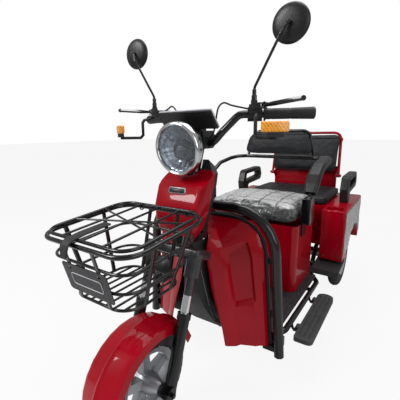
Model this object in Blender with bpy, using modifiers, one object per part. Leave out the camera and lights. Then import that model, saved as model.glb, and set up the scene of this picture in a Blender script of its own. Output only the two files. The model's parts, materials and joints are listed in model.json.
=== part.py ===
"""Electric passenger tricycle: one front wheel on a telescopic fork, a driver's seat over the
battery box, and a folding rear bench between two side boxes. Metres, +Z up. The front points
to -Y, the driver's left is +X, the ground is z = 0 and the middle of the length is y = 0."""

import math

import bmesh
import bpy
from mathutils import Matrix, Vector

# Clearances between pieces
SEAT_GAP = 0.0003          # faces that rest on each other
PIVOT_GAP = 0.0004         # radial play of a pin in its eye
RUN_GAP = 0.004            # side play of a moving piece beside its carrier

# Overall layout
RAKE = math.radians(21.0)              # steering axis leans back at the top
CROWN_Y, CROWN_Z = -0.556, 0.484       # steering axis at the foot of the fork crown
REAR_AXLE_Y = 0.65
REAR_TRACK_HALF = 0.302
REAR_AXLE_RADIUS = 0.028
OVERALL_REACH = 0.934                  # front of the basket strap, and back of the backrest

# Wheels
TYRE_RADIUS = 0.180
WHEEL_STEPS = 18
TYRE_WIDTH = 0.070
FENDER_GAP = 0.016
RIM_RADIUS = 0.112
AXLE_RADIUS = 0.007
HUB_RADIUS = 0.034

# Fork
FORK_HALF = 0.088                      # leg centres from the middle plane
LEG_OFFSET = 0.030                     # leg centres ahead of the steering axis
AXLE_OFFSET = 0.045                    # front axle ahead of the steering axis
LUG_HALF = 0.020                       # half width of the axle lug on a slider
STANCHION_RADIUS = 0.0140
SLIDER_RADIUS = 0.0192
SLIDER_TOP = -0.110                    # along the axis from the crown foot
STANCHION_FOOT = -0.230
SLIDER_BORE_FOOT = -0.295
CAP_RADIUS = 0.0250
CAP_LENGTH = 0.056
CROWN_THICK = 0.030
STEM_RADIUS = 0.0142
HEAD_TUBE_RADIUS = 0.0240
HEAD_TUBE_TOP = 0.250
STEM_TOP = 0.452

# Handlebar
BAR_RADIUS = 0.0125
BAR_BORE = BAR_RADIUS + 0.0009         # inside of a sleeve round the bar
GRIP_RADIUS = 0.0172
GRIP_LENGTH = 0.156
BAR_SEAT = 0.440                       # along the axis from the crown foot
BAR_KNEE = Vector((0.090, -0.393, 0.936))
GRIP_IN = Vector((0.205, -0.334, 0.988))
GRIP_SWEEP = math.radians(25.0)
RISER_RADIUS = 0.0200

# Head lamp and dash
LAMP_CENTRE = Vector((0.0, -0.529, 0.882))
LAMP_TILT = math.radians(6.0)
LAMP_RADIUS = 0.085
LAMP_STEPS = 18
BUCKET_DEPTH = 0.088
DASH_WIDTH = 0.204
DASH_LENGTH = 0.068
DASH_THICK = 0.011
DASH_TOP = Vector((0.0, -0.482, 1.002))
DASH_TILT = math.radians(49.0)
NACELLE_HALF = 0.043

# Basket
BASKET_HALF = 0.165
BASKET_BACK, BASKET_FRONT = -0.602, -0.908
BASKET_TOP_BACK, BASKET_TOP_FRONT = 0.702, 0.680
BASKET_FOOT_HALF = 0.108
BASKET_FOOT_BACK, BASKET_FOOT_FRONT = -0.652, -0.866
BASKET_FOOT_Z = 0.518
BASKET_RIM_RADIUS = 0.0060
BASKET_ROD_RADIUS = 0.0040
STRIP_FACE = 0.0045                    # outer face of a basket strip beyond the ring centres
LID_RISE = 0.0110
PLATE_WIDTH, PLATE_HEIGHT, PLATE_THICK = 0.168, 0.086, 0.002

# Leg shield and crash bar
SHIELD_Y = -0.345
SHIELD_TOP = 0.628
SHIELD_FOOT = 0.172
SHIELD_TOP_HALF = 0.220
SHIELD_FOOT_HALF = 0.256
SHIELD_CORNER = 0.115
SHIELD_WALL = 0.004
SHIELD_RECESS = 0.016
ARCH_GAP = 0.004                       # red panel clear of the liner's prow
PROW_ROOF = 0.574
# Half width and lead of the prow at each height, from the roof down
PROW_ROWS = ((PROW_ROOF, 0.045, 0.133), (0.530, 0.045, 0.133), (0.480, 0.047, 0.131),
             (0.374, 0.066, 0.124), (0.296, 0.092, 0.094), (0.220, 0.114, 0.046),
             (SHIELD_FOOT, 0.122, 0.006))
CRASH_RADIUS = 0.0185
CRASH_GAP = 0.0100                     # open strip between the liner edge and the bar
LINER_EDGE = 0.010                     # liner stands proud of the red panel all round
LINER_WALL = 0.005

# Column cover
COLUMN_HALF = 0.093
COLUMN_FRONT = 0.073                   # ahead of the steering axis
COLUMN_BACK = 0.007
COLUMN_FOOT = 0.118
COLUMN_WALL = 0.003
COLUMN_BROW = Vector((0.0, -0.4715, 0.7905))      # on the slope under the head lamp
BROW_SLOPE = math.radians(31.0)
COLUMN_SHOULDER = Vector((0.060, 0.0, 0.820))    # on the slope at each side of the top
SHOULDER_SLOPE = math.radians(34.0)
COLUMN_LEVEL = 0.852
COLUMN_TOP = 0.430                     # along the axis, above both top faces
STEM_HOLE = 0.0300
BACK_DEPTH = 0.028                     # back of the column liner behind the steering axis

# Floor and chassis
FLOOR_TOP = 0.212
FLOOR_THICK = 0.012
FLOOR_HALF = 0.270
FLOOR_FRONT, FLOOR_REAR = -0.322, 0.345
RAIL_X = 0.284
RAIL_RADIUS = 0.0125
RAIL_Z = FLOOR_TOP - FLOOR_THICK - SEAT_GAP - RAIL_RADIUS
CHASSIS_X = 0.205
CHASSIS_Z = 0.280
BACKBONE_RADIUS = 0.0190
BACKBONE_END = 0.400
BUMPER_Y = OVERALL_REACH - 0.042

# Driver's place
BOX_HALF = 0.236
BOX_FRONT, BOX_REAR = -0.007, 0.262
BOX_TOP = 0.523
BOX_WALL = 0.0025
SEAT_HALF = 0.216
SEAT_FRONT, SEAT_REAR = -0.004, 0.340
SEAT_THICK = 0.086
SEAT_PAN = 0.012
HOOP_X = SEAT_HALF + 0.046
HOOP_Y = 0.380
HOOP_Z = 0.792
HOOP_RADIUS = 0.0105
BACK_HOOP_HALF = 0.187
BACK_HOOP_NARROW = 0.032               # how much each leg leans in
BACK_HOOP_TOP = 0.940
BACK_HOOP_RADIUS = 0.0090
BACK_HOOP_LEAN = 0.020                 # top of the hoop behind its foot
PAD_START = 0.648                      # height at which the pad starts
PAD_WIDTH = 0.062

# Rear bench
BENCH_HALF = 0.2110
BENCH_FRONT, BENCH_BACK = 0.460, OVERALL_REACH - 0.042
BENCH_TOP = 0.525
BENCH_WALL = 0.004
BENCH_SEAT_THICK = 0.054
PANEL_TOP = 0.700
BACKREST_HALF = 0.2230
BACKREST_HEIGHT = 0.278
BACKREST_LEAN = math.radians(9.5)
BACKREST_RADIUS = 0.0090
BACKREST_TOP_Y = OVERALL_REACH - 0.0088          # centre line of the hoop at its top
BACKREST_PIVOT_Y = BACKREST_TOP_Y - BACKREST_HEIGHT * math.sin(BACKREST_LEAN)
BACKREST_PIVOT_Z = 0.640
BACKREST_NARROW = -0.008               # how much each leg leans in; negative is out
BACKREST_BAR_LOW = 0.034               # lower cross bar above the hinge

# Side boxes
SIDE_IN, SIDE_OUT = 0.2545, 0.3720
SIDE_FRONT, SIDE_REAR = 0.340, 0.852
SIDE_FOOT, SIDE_TOP = 0.265, 0.533
ARCH_CLEARANCE = 0.030
POCKET_DEPTH = 0.120

# Running boards
BOARD_PIVOT_X, BOARD_PIVOT_Z = 0.3080, 0.162
BOARD_WIDTH = 0.070
BOARD_THICK = 0.018
BOARD_FRONT, BOARD_REAR = -0.250, 0.146
BOARD_PIN_RADIUS = 0.0050

AXIS = Vector((0.0, math.sin(RAKE), math.cos(RAKE)))
AHEAD = Vector((0.0, -math.cos(RAKE), math.sin(RAKE)))
SIDEWAYS = Vector((1.0, 0.0, 0.0))
UP = Vector((0.0, 0.0, 1.0))
SIDES = (("left", 1), ("right", -1))


def clear_scene():
    """Start from an empty scene."""
    for item in list(bpy.data.objects):
        bpy.data.objects.remove(item, do_unlink=True)


def group(name):
    """A collection linked to the scene."""
    found = bpy.data.collections.get(name)
    if found is None:
        found = bpy.data.collections.new(name)
        bpy.context.scene.collection.children.link(found)
    return found


def material(name, colour, roughness, metallic=0.0):
    """A plain Principled material, made once and shared."""
    found = bpy.data.materials.get(name)
    if found is None:
        found = bpy.data.materials.new(name)
        found.use_nodes = True
        shader = found.node_tree.nodes["Principled BSDF"]
        shader.inputs["Base Color"].default_value = (*colour, 1.0)
        shader.inputs["Roughness"].default_value = roughness
        shader.inputs["Metallic"].default_value = metallic
        found.diffuse_color = (*colour, 1.0)
    return found


def red_paint():
    return material("red_paint", (0.50, 0.01, 0.02), 0.25)


def black_paint():
    return material("black_paint", (0.012, 0.013, 0.015), 0.32, 0.3)


def black_plastic():
    return material("black_plastic", (0.02, 0.021, 0.023), 0.5)


def grey_rubber():
    return material("grey_rubber", (0.045, 0.05, 0.055), 0.8)


def chrome():
    return material("chrome", (0.78, 0.79, 0.80), 0.12, 1.0)


def steel():
    return material("steel", (0.42, 0.43, 0.45), 0.35, 1.0)


def black_vinyl():
    return material("black_vinyl", (0.02, 0.021, 0.024), 0.6)


def amber():
    return material("amber", (0.90, 0.36, 0.02), 0.2)


def clear_glass():
    return material("clear_glass", (0.80, 0.84, 0.86), 0.05)


def link(name, mesh):
    """A new object that carries the mesh."""
    item = bpy.data.objects.new(name, mesh)
    group("electric_tricycle").objects.link(item)
    return item


def from_bmesh(name, shape):
    """A new object made from a bmesh, with its faces turned outwards."""
    bmesh.ops.recalc_face_normals(shape, faces=shape.faces)
    mesh = bpy.data.meshes.new(name)
    shape.to_mesh(mesh)
    shape.free()
    return link(name, mesh)


def settle(item):
    """Apply the modifiers and the transform, and weld what a curve's caps leave loose."""
    bpy.context.view_layer.update()
    evaluated = item.evaluated_get(bpy.context.evaluated_depsgraph_get())
    mesh = bpy.data.meshes.new_from_object(evaluated)
    shape = bmesh.new()
    shape.from_mesh(mesh)
    shape.transform(item.matrix_world)
    bmesh.ops.remove_doubles(shape, verts=shape.verts, dist=0.00001)
    shape.to_mesh(mesh)
    shape.free()
    name = item.name
    bpy.data.objects.remove(item, do_unlink=True)
    return link(name, mesh)


def boolean(item, other, operation, own=False):
    """Cut or join with one other object, which is used up."""
    step = item.modifiers.new(operation.lower(), 'BOOLEAN')
    step.operation = operation
    step.solver = 'EXACT'
    step.use_self = own
    step.object = other
    done = settle(item)
    bpy.data.objects.remove(other, do_unlink=True)
    return done


def merge(items):
    """Put the meshes of several objects into one object, still as loose bodies."""
    shape = bmesh.new()
    for item in items:
        copy = item.data.copy()
        copy.transform(item.matrix_world)
        shape.from_mesh(copy)
        bpy.data.meshes.remove(copy)
    name = items[0].name
    for item in items:
        bpy.data.objects.remove(item, do_unlink=True)
    mesh = bpy.data.meshes.new(name)
    shape.to_mesh(mesh)
    shape.free()
    return link(name, mesh)


def union(items):
    """Join bodies that meet into one body."""
    if len(items) == 1:
        return items[0]
    rest = merge(items[1:])
    return boolean(items[0], rest, 'UNION', own=len(items) > 2)


def cut(item, tools):
    """Take every tool's shape away from the item."""
    for tool in tools:
        item = boolean(item, tool, 'DIFFERENCE')
    return item


def finish(item, name, look, smooth=35.0):
    """Give a piece its node name, its material and its shading."""
    item.name = name
    item.data.name = name
    item.data.materials.clear()
    item.data.materials.append(look)
    item.data.shade_smooth()
    item.data.set_sharp_from_angle(angle=math.radians(smooth))
    return item


def bevel(item, width, segments=2, angle=40.0):
    """Round the sharp edges of a settled object."""
    step = item.modifiers.new("bevel", 'BEVEL')
    step.width = width
    step.segments = segments
    step.limit_method = 'ANGLE'
    step.angle_limit = math.radians(angle)
    return settle(item)


def frame_of(axis, up=UP):
    """A rotation whose local Z lies along the axis."""
    along = Vector(axis).normalized()
    across = Vector(up).cross(along)
    if across.length < 1e-6:
        across = SIDEWAYS.copy()
    across.normalize()
    third = along.cross(across)
    return Matrix((across, third, along)).transposed().to_4x4()


def box(low, high, rounding=0.0, segments=2):
    """A block between two corners."""
    low, high = Vector(low), Vector(high)
    shape = bmesh.new()
    size = high - low
    place = Matrix.Translation((low + high) / 2) @ Matrix.Diagonal((*size, 1.0))
    bmesh.ops.create_cube(shape, size=1.0, matrix=place)
    item = from_bmesh("block", shape)
    if rounding > 0.0:
        item = bevel(item, rounding, segments)
    return item


def block_at(centre, size, turn=None, rounding=0.0, segments=2):
    """A block about a centre, turned by a rotation matrix."""
    half = Vector(size) / 2
    item = box(-half, half, rounding, segments)
    rotation = turn if turn is not None else Matrix.Identity(4)
    item.data.transform(Matrix.Translation(Vector(centre)) @ rotation.to_4x4())
    return item


def rod(start, end, radius, sides=16, end_radius=None):
    """A straight round bar, or a cone where the end radius differs."""
    start, end = Vector(start), Vector(end)
    shape = bmesh.new()
    place = Matrix.Translation((start + end) / 2) @ frame_of(end - start)
    last = radius if end_radius is None else end_radius
    bmesh.ops.create_cone(shape, cap_ends=True, segments=sides, radius1=radius,
                          radius2=last, depth=(end - start).length, matrix=place)
    return from_bmesh("rod", shape)


def rounded(points, radius, steps=4, closed=False):
    """A path whose corners are replaced by arcs."""
    points = [Vector(p) for p in points]
    count = len(points)
    path = []
    for index, corner in enumerate(points):
        if not closed and index in (0, count - 1):
            path.append(corner.copy())
            continue
        back = points[index - 1] - corner
        on = points[(index + 1) % count] - corner
        spread = back.angle(on)
        bend = radius[index] if isinstance(radius, (list, tuple)) else radius
        reach = bend / math.tan(spread / 2)
        reach = min(reach, back.length * 0.49, on.length * 0.49)
        bend = reach * math.tan(spread / 2)
        middle = (back.normalized() + on.normalized()).normalized()
        centre = corner + middle * (bend / math.sin(spread / 2))
        first = corner + back.normalized() * reach - centre
        last = corner + on.normalized() * reach - centre
        sweep = first.angle(last)
        for step in range(steps + 1):
            part = step / steps
            weight_a = math.sin((1 - part) * sweep) / math.sin(sweep)
            weight_b = math.sin(part * sweep) / math.sin(sweep)
            path.append(centre + first * weight_a + last * weight_b)
    return path


def tube(points, radius, closed=False, detail=2):
    """A round bar along a path, made from a curve with a bevel."""
    curve = bpy.data.curves.new("tube", 'CURVE')
    curve.dimensions = '3D'
    curve.bevel_depth = radius
    curve.bevel_resolution = detail
    curve.use_fill_caps = not closed
    line = curve.splines.new('POLY')
    line.points.add(len(points) - 1)
    for place, point in zip(line.points, points):
        place.co = (*point, 1.0)
    line.use_cyclic_u = closed
    item = bpy.data.objects.new("tube", curve)
    group("electric_tricycle").objects.link(item)
    return settle(item)


def prism(outlines, thickness, place):
    """A flat plate with the given outline and holes; local Z is its thickness."""
    curve = bpy.data.curves.new("plate", 'CURVE')
    curve.dimensions = '2D'
    curve.fill_mode = 'BOTH'
    curve.extrude = thickness / 2
    for outline in outlines:
        line = curve.splines.new('POLY')
        line.points.add(len(outline) - 1)
        for spot, point in zip(line.points, outline):
            spot.co = (point[0], point[1], 0.0, 1.0)
        line.use_cyclic_u = True
    item = bpy.data.objects.new("plate", curve)
    group("electric_tricycle").objects.link(item)
    item.matrix_world = place
    return settle(item)


def side_plane(x):
    """Local X and Y become world Y and Z, at the given x."""
    turn = Matrix(((0, 0, 1), (1, 0, 0), (0, 1, 0))).to_4x4()
    return Matrix.Translation((x, 0, 0)) @ turn


def front_plane(y):
    """Local X and Y become world X and Z, at the given y."""
    turn = Matrix(((1, 0, 0), (0, 0, -1), (0, 1, 0))).to_4x4()
    return Matrix.Translation((0, y, 0)) @ turn


def flat_path(points, radius, steps=4, closed=True):
    """A rounded outline in the plane."""
    solid = rounded([(p[0], p[1], 0.0) for p in points], radius, steps, closed)
    return [(p.x, p.y) for p in solid]


def turned(profile, place, steps=24):
    """Revolve a closed profile of (radius, height) points about local Z."""
    mesh = bpy.data.meshes.new("turned")
    count = len(profile)
    edges = []
    for i in range(count):
        j = (i + 1) % count
        if profile[i][0] > 0.0 or profile[j][0] > 0.0:
            edges.append((i, j))
    mesh.from_pydata([(r, 0.0, z) for r, z in profile], edges, [])
    item = link("turned", mesh)
    step = item.modifiers.new("turn", 'SCREW')
    step.steps = steps
    step.render_steps = steps
    step.use_merge_vertices = True
    step.merge_threshold = 0.00001
    item.matrix_world = place
    item = settle(item)
    shape = bmesh.new()
    shape.from_mesh(item.data)
    bmesh.ops.recalc_face_normals(shape, faces=shape.faces)
    shape.to_mesh(item.data)
    shape.free()
    return item


def loft(rings, cap=True):
    """Skin a run of rings that have the same number of points."""
    shape = bmesh.new()
    rows = [[shape.verts.new(p) for p in ring] for ring in rings]
    count = len(rows[0])
    for row, after in zip(rows, rows[1:]):
        for i in range(count):
            j = (i + 1) % count
            shape.faces.new((row[i], row[j], after[j], after[i]))
    if cap:
        shape.faces.new(list(reversed(rows[0])))
        shape.faces.new(rows[-1])
    return from_bmesh("loft", shape)


def on_axis(along, ahead=0.0, side=0.0):
    """A point given along the steering axis, ahead of it and to the side."""
    return Vector((0.0, CROWN_Y, CROWN_Z)) + AXIS * along + AHEAD * ahead + SIDEWAYS * side


def axle_along():
    """Where the front axle lies along the steering axis."""
    return (TYRE_RADIUS - CROWN_Z - AHEAD.z * AXLE_OFFSET) / AXIS.z


def mirror_x(point, side):
    return Vector((point[0] * side, point[1], point[2]))


# Wheels

def tyre(centre):
    """Tyre with a rounded tread, flat beads and a hollow carcass."""
    half = TYRE_WIDTH / 2
    wall = 0.009
    crest = TYRE_RADIUS / math.cos(math.pi / WHEEL_STEPS)
    reach = crest - RIM_RADIUS
    outside = []
    steps = 6
    for index in range(steps + 1):
        turn = math.pi * index / steps
        bulge = math.sin(turn) ** 0.62
        outside.append((RIM_RADIUS + reach * bulge, half * math.cos(turn) * (0.80 + 0.20 * bulge)))
    inner = TYRE_RADIUS - 2.4 * wall
    inside = [(RIM_RADIUS, -half * 0.80 + wall), (inner, -half + 2.0 * wall),
              (inner, half - 2.0 * wall), (RIM_RADIUS, half * 0.80 - wall)]
    return turned(outside + inside, Matrix.Translation(centre) @ frame_of(SIDEWAYS), WHEEL_STEPS)


def rim_barrel(half):
    """Profile of a rim well, outside first and then inside."""
    seat = RIM_RADIUS - SEAT_GAP
    well = RIM_RADIUS - 0.016
    return [(seat, half), (well, half * 0.55), (well, -half * 0.55), (seat, -half),
            (well - 0.004, -half * 0.70), (well - 0.004, half * 0.70)]


def front_rim():
    """Cast front wheel: well, five spokes and a hub bored for the axle."""
    centre = on_axis(axle_along(), AXLE_OFFSET)
    place = Matrix.Translation(centre) @ frame_of(SIDEWAYS)
    well = turned(rim_barrel(TYRE_WIDTH / 2 * 0.80), place, WHEEL_STEPS)
    bore = AXLE_RADIUS + 0.0008
    wide = FORK_HALF - LUG_HALF - RUN_GAP / 5
    hub = turned([(HUB_RADIUS, 0.026), (HUB_RADIUS, -0.026), (0.018, -wide), (bore, -wide),
                  (bore, wide), (0.018, wide)], place, 12)
    spokes = []
    inner = HUB_RADIUS * 0.9
    outer = RIM_RADIUS - 0.018
    for index in range(5):
        turn = 2 * math.pi * index / 5
        along = Vector((0.0, math.sin(turn), math.cos(turn)))
        across = along.cross(SIDEWAYS)
        rings = []
        for reach, width, thick in ((inner, 0.032, 0.030), (outer, 0.026, 0.022)):
            foot = centre + along * reach
            rings.append([foot + across * (width / 2 * a) + SIDEWAYS * (thick / 2 * b)
                          for a, b in ((1, 1), (-1, 1), (-1, -1), (1, -1))])
        spokes.append(loft(rings))
    return union([well, hub] + spokes)


def rear_rim(side):
    """Pressed rear wheel with a domed hubcap."""
    centre = Vector((REAR_TRACK_HALF * side, REAR_AXLE_Y, TYRE_RADIUS))
    place = Matrix.Translation(centre) @ frame_of(SIDEWAYS * side)
    half = TYRE_WIDTH / 2 * 0.80
    seat = RIM_RADIUS - SEAT_GAP
    well = RIM_RADIUS - 0.016
    bore = AXLE_RADIUS + 0.003 + PIVOT_GAP
    profile = [(0.0, 0.030), (0.026, 0.028), (0.034, 0.016), (0.068, 0.008),
               (well - 0.008, 0.010), (seat - 0.003, half), (seat, half), (well, half * 0.55),
               (well, -half * 0.55), (seat, -half), (well - 0.004, -half * 0.60),
               (well - 0.006, 0.004), (0.034, 0.002), (0.026, -0.014), (bore, -0.014),
               (bore, 0.020), (0.0, 0.020)]
    return turned(profile, place, WHEEL_STEPS)


# Fork and front wheel carrier

def fork_crown():
    """Lower yoke with its chromed stanchions, leg caps, stem, horn tab and basket arms."""
    top = CAP_LENGTH + CROWN_THICK
    tilt = Matrix.Rotation(-RAKE, 4, 'X')
    reach = LEG_OFFSET + 0.052
    parts = [block_at(on_axis(CAP_LENGTH + CROWN_THICK / 2, (LEG_OFFSET - 0.004) / 2),
                      (2 * (FORK_HALF + CAP_RADIUS), reach, CROWN_THICK), tilt, 0.006, 1)]
    parts.append(rod(on_axis(CAP_LENGTH + 0.004), on_axis(STEM_TOP), STEM_RADIUS, 12))
    front = crown_front()
    parts.append(block_at(on_axis(HORN_ALONG + 0.018, front - 0.0020), (0.030, 0.0040, 0.070),
                          tilt))
    for _, side in SIDES:
        x = FORK_HALF * side
        parts.append(rod(on_axis(0.0, LEG_OFFSET, x), on_axis(top - 0.006, LEG_OFFSET, x),
                         CAP_RADIUS, 14))
        parts.append(rod(on_axis(STANCHION_FOOT, LEG_OFFSET, x),
                         on_axis(CAP_LENGTH, LEG_OFFSET, x), STANCHION_RADIUS, 12))
    for x in (-0.052, 0.052):
        start = on_axis(CAP_LENGTH + CROWN_THICK / 2, LEG_OFFSET, x)
        rest = Vector((x, BASKET_FOOT_BACK - 0.030, BASKET_FOOT_Z - BASKET_ROD_RADIUS - 0.0052))
        knee = Vector((x, BASKET_FOOT_BACK + 0.030, rest.z))
        parts.append(tube(rounded([start, knee, rest], 0.012, 2), 0.0055, detail=1))
    return union(parts)


HORN_ALONG = 0.012


def crown_front():
    """How far the yoke's front face stands ahead of the steering axis."""
    return (LEG_OFFSET - 0.004) / 2 + (LEG_OFFSET + 0.052) / 2


def fork_lower():
    """The two sliders, bored for the stanchions, with the wheel axle between their feet."""
    foot = axle_along()
    hub = on_axis(foot, AXLE_OFFSET)
    parts = []
    bores = []
    for _, side in SIDES:
        x = FORK_HALF * side
        parts.append(rod(on_axis(foot + 0.006, LEG_OFFSET, x),
                         on_axis(SLIDER_TOP - 0.016, LEG_OFFSET, x), SLIDER_RADIUS, 12))
        parts.append(rod(on_axis(SLIDER_TOP - 0.020, LEG_OFFSET, x),
                         on_axis(SLIDER_TOP, LEG_OFFSET, x), SLIDER_RADIUS + 0.0025, 12))
        parts.append(rod(hub + SIDEWAYS * (x - LUG_HALF * side),
                         hub + SIDEWAYS * (x + LUG_HALF * side), 0.0210, 12))
        bores.append(rod(on_axis(SLIDER_BORE_FOOT, LEG_OFFSET, x),
                         on_axis(SLIDER_TOP + 0.02, LEG_OFFSET, x),
                         STANCHION_RADIUS + PIVOT_GAP, 12))
    reach = SIDEWAYS * (FORK_HALF + 0.030)
    parts.append(rod(hub - reach, hub + reach, AXLE_RADIUS, 10))
    return cut(union(parts), bores)


def front_fender():
    """Crowned mudguard with a centre ridge, held between the sliders."""
    half = FORK_HALF - SLIDER_RADIUS - SEAT_GAP
    radius = TYRE_RADIUS + FENDER_GAP
    wall = 0.0025
    profile = [(-1.0, -0.034), (-0.95, -0.010), (-0.72, -0.001), (-0.16, 0.003), (0.0, 0.009),
               (0.16, 0.003), (0.72, -0.001), (0.95, -0.010), (1.0, -0.034)]
    centre = on_axis(axle_along(), AXLE_OFFSET)
    rings = []
    steps = 12
    for index in range(steps + 1):
        part = index / steps
        turn = math.radians(-82.0 + 148.0 * part)
        taper = 1.0 - 0.10 * (2 * part - 1) ** 4
        out = Vector((0.0, math.sin(turn), math.cos(turn)))
        outer = [centre + SIDEWAYS * (half * a * taper) + out * (radius + b) for a, b in profile]
        inner = [centre + SIDEWAYS * ((half - wall) * a * taper) + out * (radius + b - wall)
                 for a, b in profile]
        rings.append(outer + list(reversed(inner)))
    return loft(rings)


# Handlebar and what it carries

def bar_path():
    """Centre line of the handlebar from the right end to the left end."""
    seat = on_axis(BAR_SEAT, 0.004)
    out = grip_axis(1)
    half = [Vector((NACELLE_HALF + 0.013, seat.y, seat.z)), BAR_KNEE, GRIP_IN - out * 0.077,
            GRIP_IN + out * (GRIP_LENGTH - 0.004)]
    other = [mirror_x(p, -1) for p in reversed(half)]
    return rounded(other + half, 0.030, 2)


def grip_axis(side):
    return Vector((math.cos(GRIP_SWEEP) * side, math.sin(GRIP_SWEEP), 0.0))


def grip_frame(side):
    """Outward, forward and up directions at a grip, and the grip's inner end."""
    out = grip_axis(side)
    ahead = Vector((math.sin(GRIP_SWEEP) * side, -math.cos(GRIP_SWEEP), 0.0))
    return mirror_x(GRIP_IN, side), out, ahead


def handlebar():
    """Bent bar with a riser sleeve that clamps the top of the stem."""
    foot = HEAD_TUBE_TOP + 0.086
    body = union([tube(bar_path(), BAR_RADIUS),
                  rod(on_axis(foot), on_axis(STEM_TOP + 0.020), RISER_RADIUS, 12),
                  rod(on_axis(foot), on_axis(foot + 0.018), RISER_RADIUS + 0.004, 12)])
    bore = rod(on_axis(HEAD_TUBE_TOP + 0.05), on_axis(STEM_TOP + SEAT_GAP),
               STEM_RADIUS + SEAT_GAP, 12)
    return cut(body, [bore])


def grip(side):
    """Rubber grip with a flange at its inner end and a closed, flared outer end."""
    start, out, _ = grip_frame(side)
    place = Matrix.Translation(start) @ frame_of(out)
    bore = BAR_BORE
    outline = [(bore, 0.0008), (GRIP_RADIUS + 0.005, 0.0008), (GRIP_RADIUS + 0.005, 0.006),
               (GRIP_RADIUS, 0.008)]
    count = 2
    pitch = (GRIP_LENGTH - 0.040) / count
    for index in range(count):
        base = 0.022 + pitch * index
        outline += [(GRIP_RADIUS, base), (GRIP_RADIUS - 0.0012, base + 0.003),
                    (GRIP_RADIUS, base + 0.006)]
    outline += [(GRIP_RADIUS + 0.0016, GRIP_LENGTH), (GRIP_RADIUS - 0.002, GRIP_LENGTH + 0.003),
                (0.0, GRIP_LENGTH + 0.003), (0.0, GRIP_LENGTH - 0.002),
                (bore, GRIP_LENGTH - 0.002)]
    return turned(outline, place, 12)


POD_IN, POD_OUT = 0.046, 0.009         # ends of the switch pod, inward from the grip
PERCH_AHEAD = 0.055
PERCH_UP = 0.022
LEVER_HALF = 0.0042                    # half thickness of the lever at its pivot
LEVER_PIN = 0.0032
LEVER_TIP = Vector((0.365, -0.428, 1.021))
MIRROR_BASE = Vector((0.201, -0.398, 1.026))
SIGNAL_ARM = Vector((0.226, -0.440, 0.915))
SIGNAL_CENTRE = Vector((0.302, -0.481, 0.946))
SIGNAL_SIZE = Vector((0.076, 0.022, 0.029))
SIGNAL_SWEEP = math.radians(36.0)


def lever_pivot(side):
    start, out, ahead = grip_frame(side)
    return start + ahead * PERCH_AHEAD + UP * PERCH_UP


def signal_frame(side):
    """Long and forward directions of a turn signal."""
    out = Vector((math.cos(SIGNAL_SWEEP) * side, math.sin(SIGNAL_SWEEP), 0.0))
    ahead = Vector((math.sin(SIGNAL_SWEEP) * side, -math.cos(SIGNAL_SWEEP), 0.0))
    return out, ahead


def pod(side):
    """Switch pod round the bar, lever perch, mirror boss and the turn signal's bracket."""
    start, out, ahead = grip_frame(side)
    turn = Matrix((out, -ahead * side, UP)).transposed()
    pivot = lever_pivot(side)
    base = mirror_x(MIRROR_BASE, side)
    middle = (POD_IN + POD_OUT) / 2
    shell = rod(start - out * (POD_IN + 0.004), start - out * 0.004, 0.0230, 12)
    case = block_at(start - out * middle + ahead * 0.030 + UP * 0.013,
                    (POD_IN - POD_OUT, 0.062, 0.0265), turn)
    perch = block_at(pivot - out * 0.011 - ahead * 0.001, (0.040, 0.021, 0.0180), turn)
    boss = rod(base - UP * 0.026, base, 0.0100, 10)
    knee = mirror_x(SIGNAL_ARM, side)
    lamp = mirror_x(SIGNAL_CENTRE, side)
    root = start - out * 0.020 + ahead * 0.045 + UP * 0.005
    foot = Vector((lamp.x, lamp.y, knee.z))
    drop = tube(rounded([root, Vector((knee.x, knee.y, knee.z + 0.062)), knee, foot], 0.010, 1),
                0.0055, detail=1)
    long_way, deep = signal_frame(side)
    seat = Matrix((long_way, -deep * side, UP)).transposed()
    low = knee.z + 0.003
    high = lamp.z - SIGNAL_SIZE.z / 2 - SEAT_GAP
    holder = block_at(Vector((lamp.x, lamp.y, (low + high) / 2)), (0.044, 0.019, high - low), seat)
    body = union([shell, case, perch, boss, drop, holder])
    bore = rod(start - out * 0.08, start + out * 0.01, BAR_BORE, 12)
    slot = block_at(pivot + out * 0.012, (0.046, 0.060, 2 * LEVER_HALF + 0.75 * RUN_GAP), turn)
    body = cut(body, [bore, slot])
    pin = rod(pivot - UP * 0.0085, pivot + UP * 0.0120, LEVER_PIN, 8)
    return union([body, pin])


def signal_lens(side):
    """Amber turn signal lens, a rounded lozenge."""
    out, ahead = signal_frame(side)
    lamp = mirror_x(SIGNAL_CENTRE, side)
    length, depth, height = SIGNAL_SIZE
    rings = []
    for level, inset in ((-0.5, 0.003), (-0.38, 0.0), (0.38, 0.0), (0.5, 0.003)):
        half_l, half_d = length / 2 - inset, depth / 2 - inset
        corners = [(half_l, half_d), (-half_l, half_d), (-half_l, -half_d), (half_l, -half_d)]
        outline = flat_path(corners, 0.008 - inset, 2)
        rings.append([lamp + out * a + ahead * b + UP * (height * level) for a, b in outline])
    return loft(rings)


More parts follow.
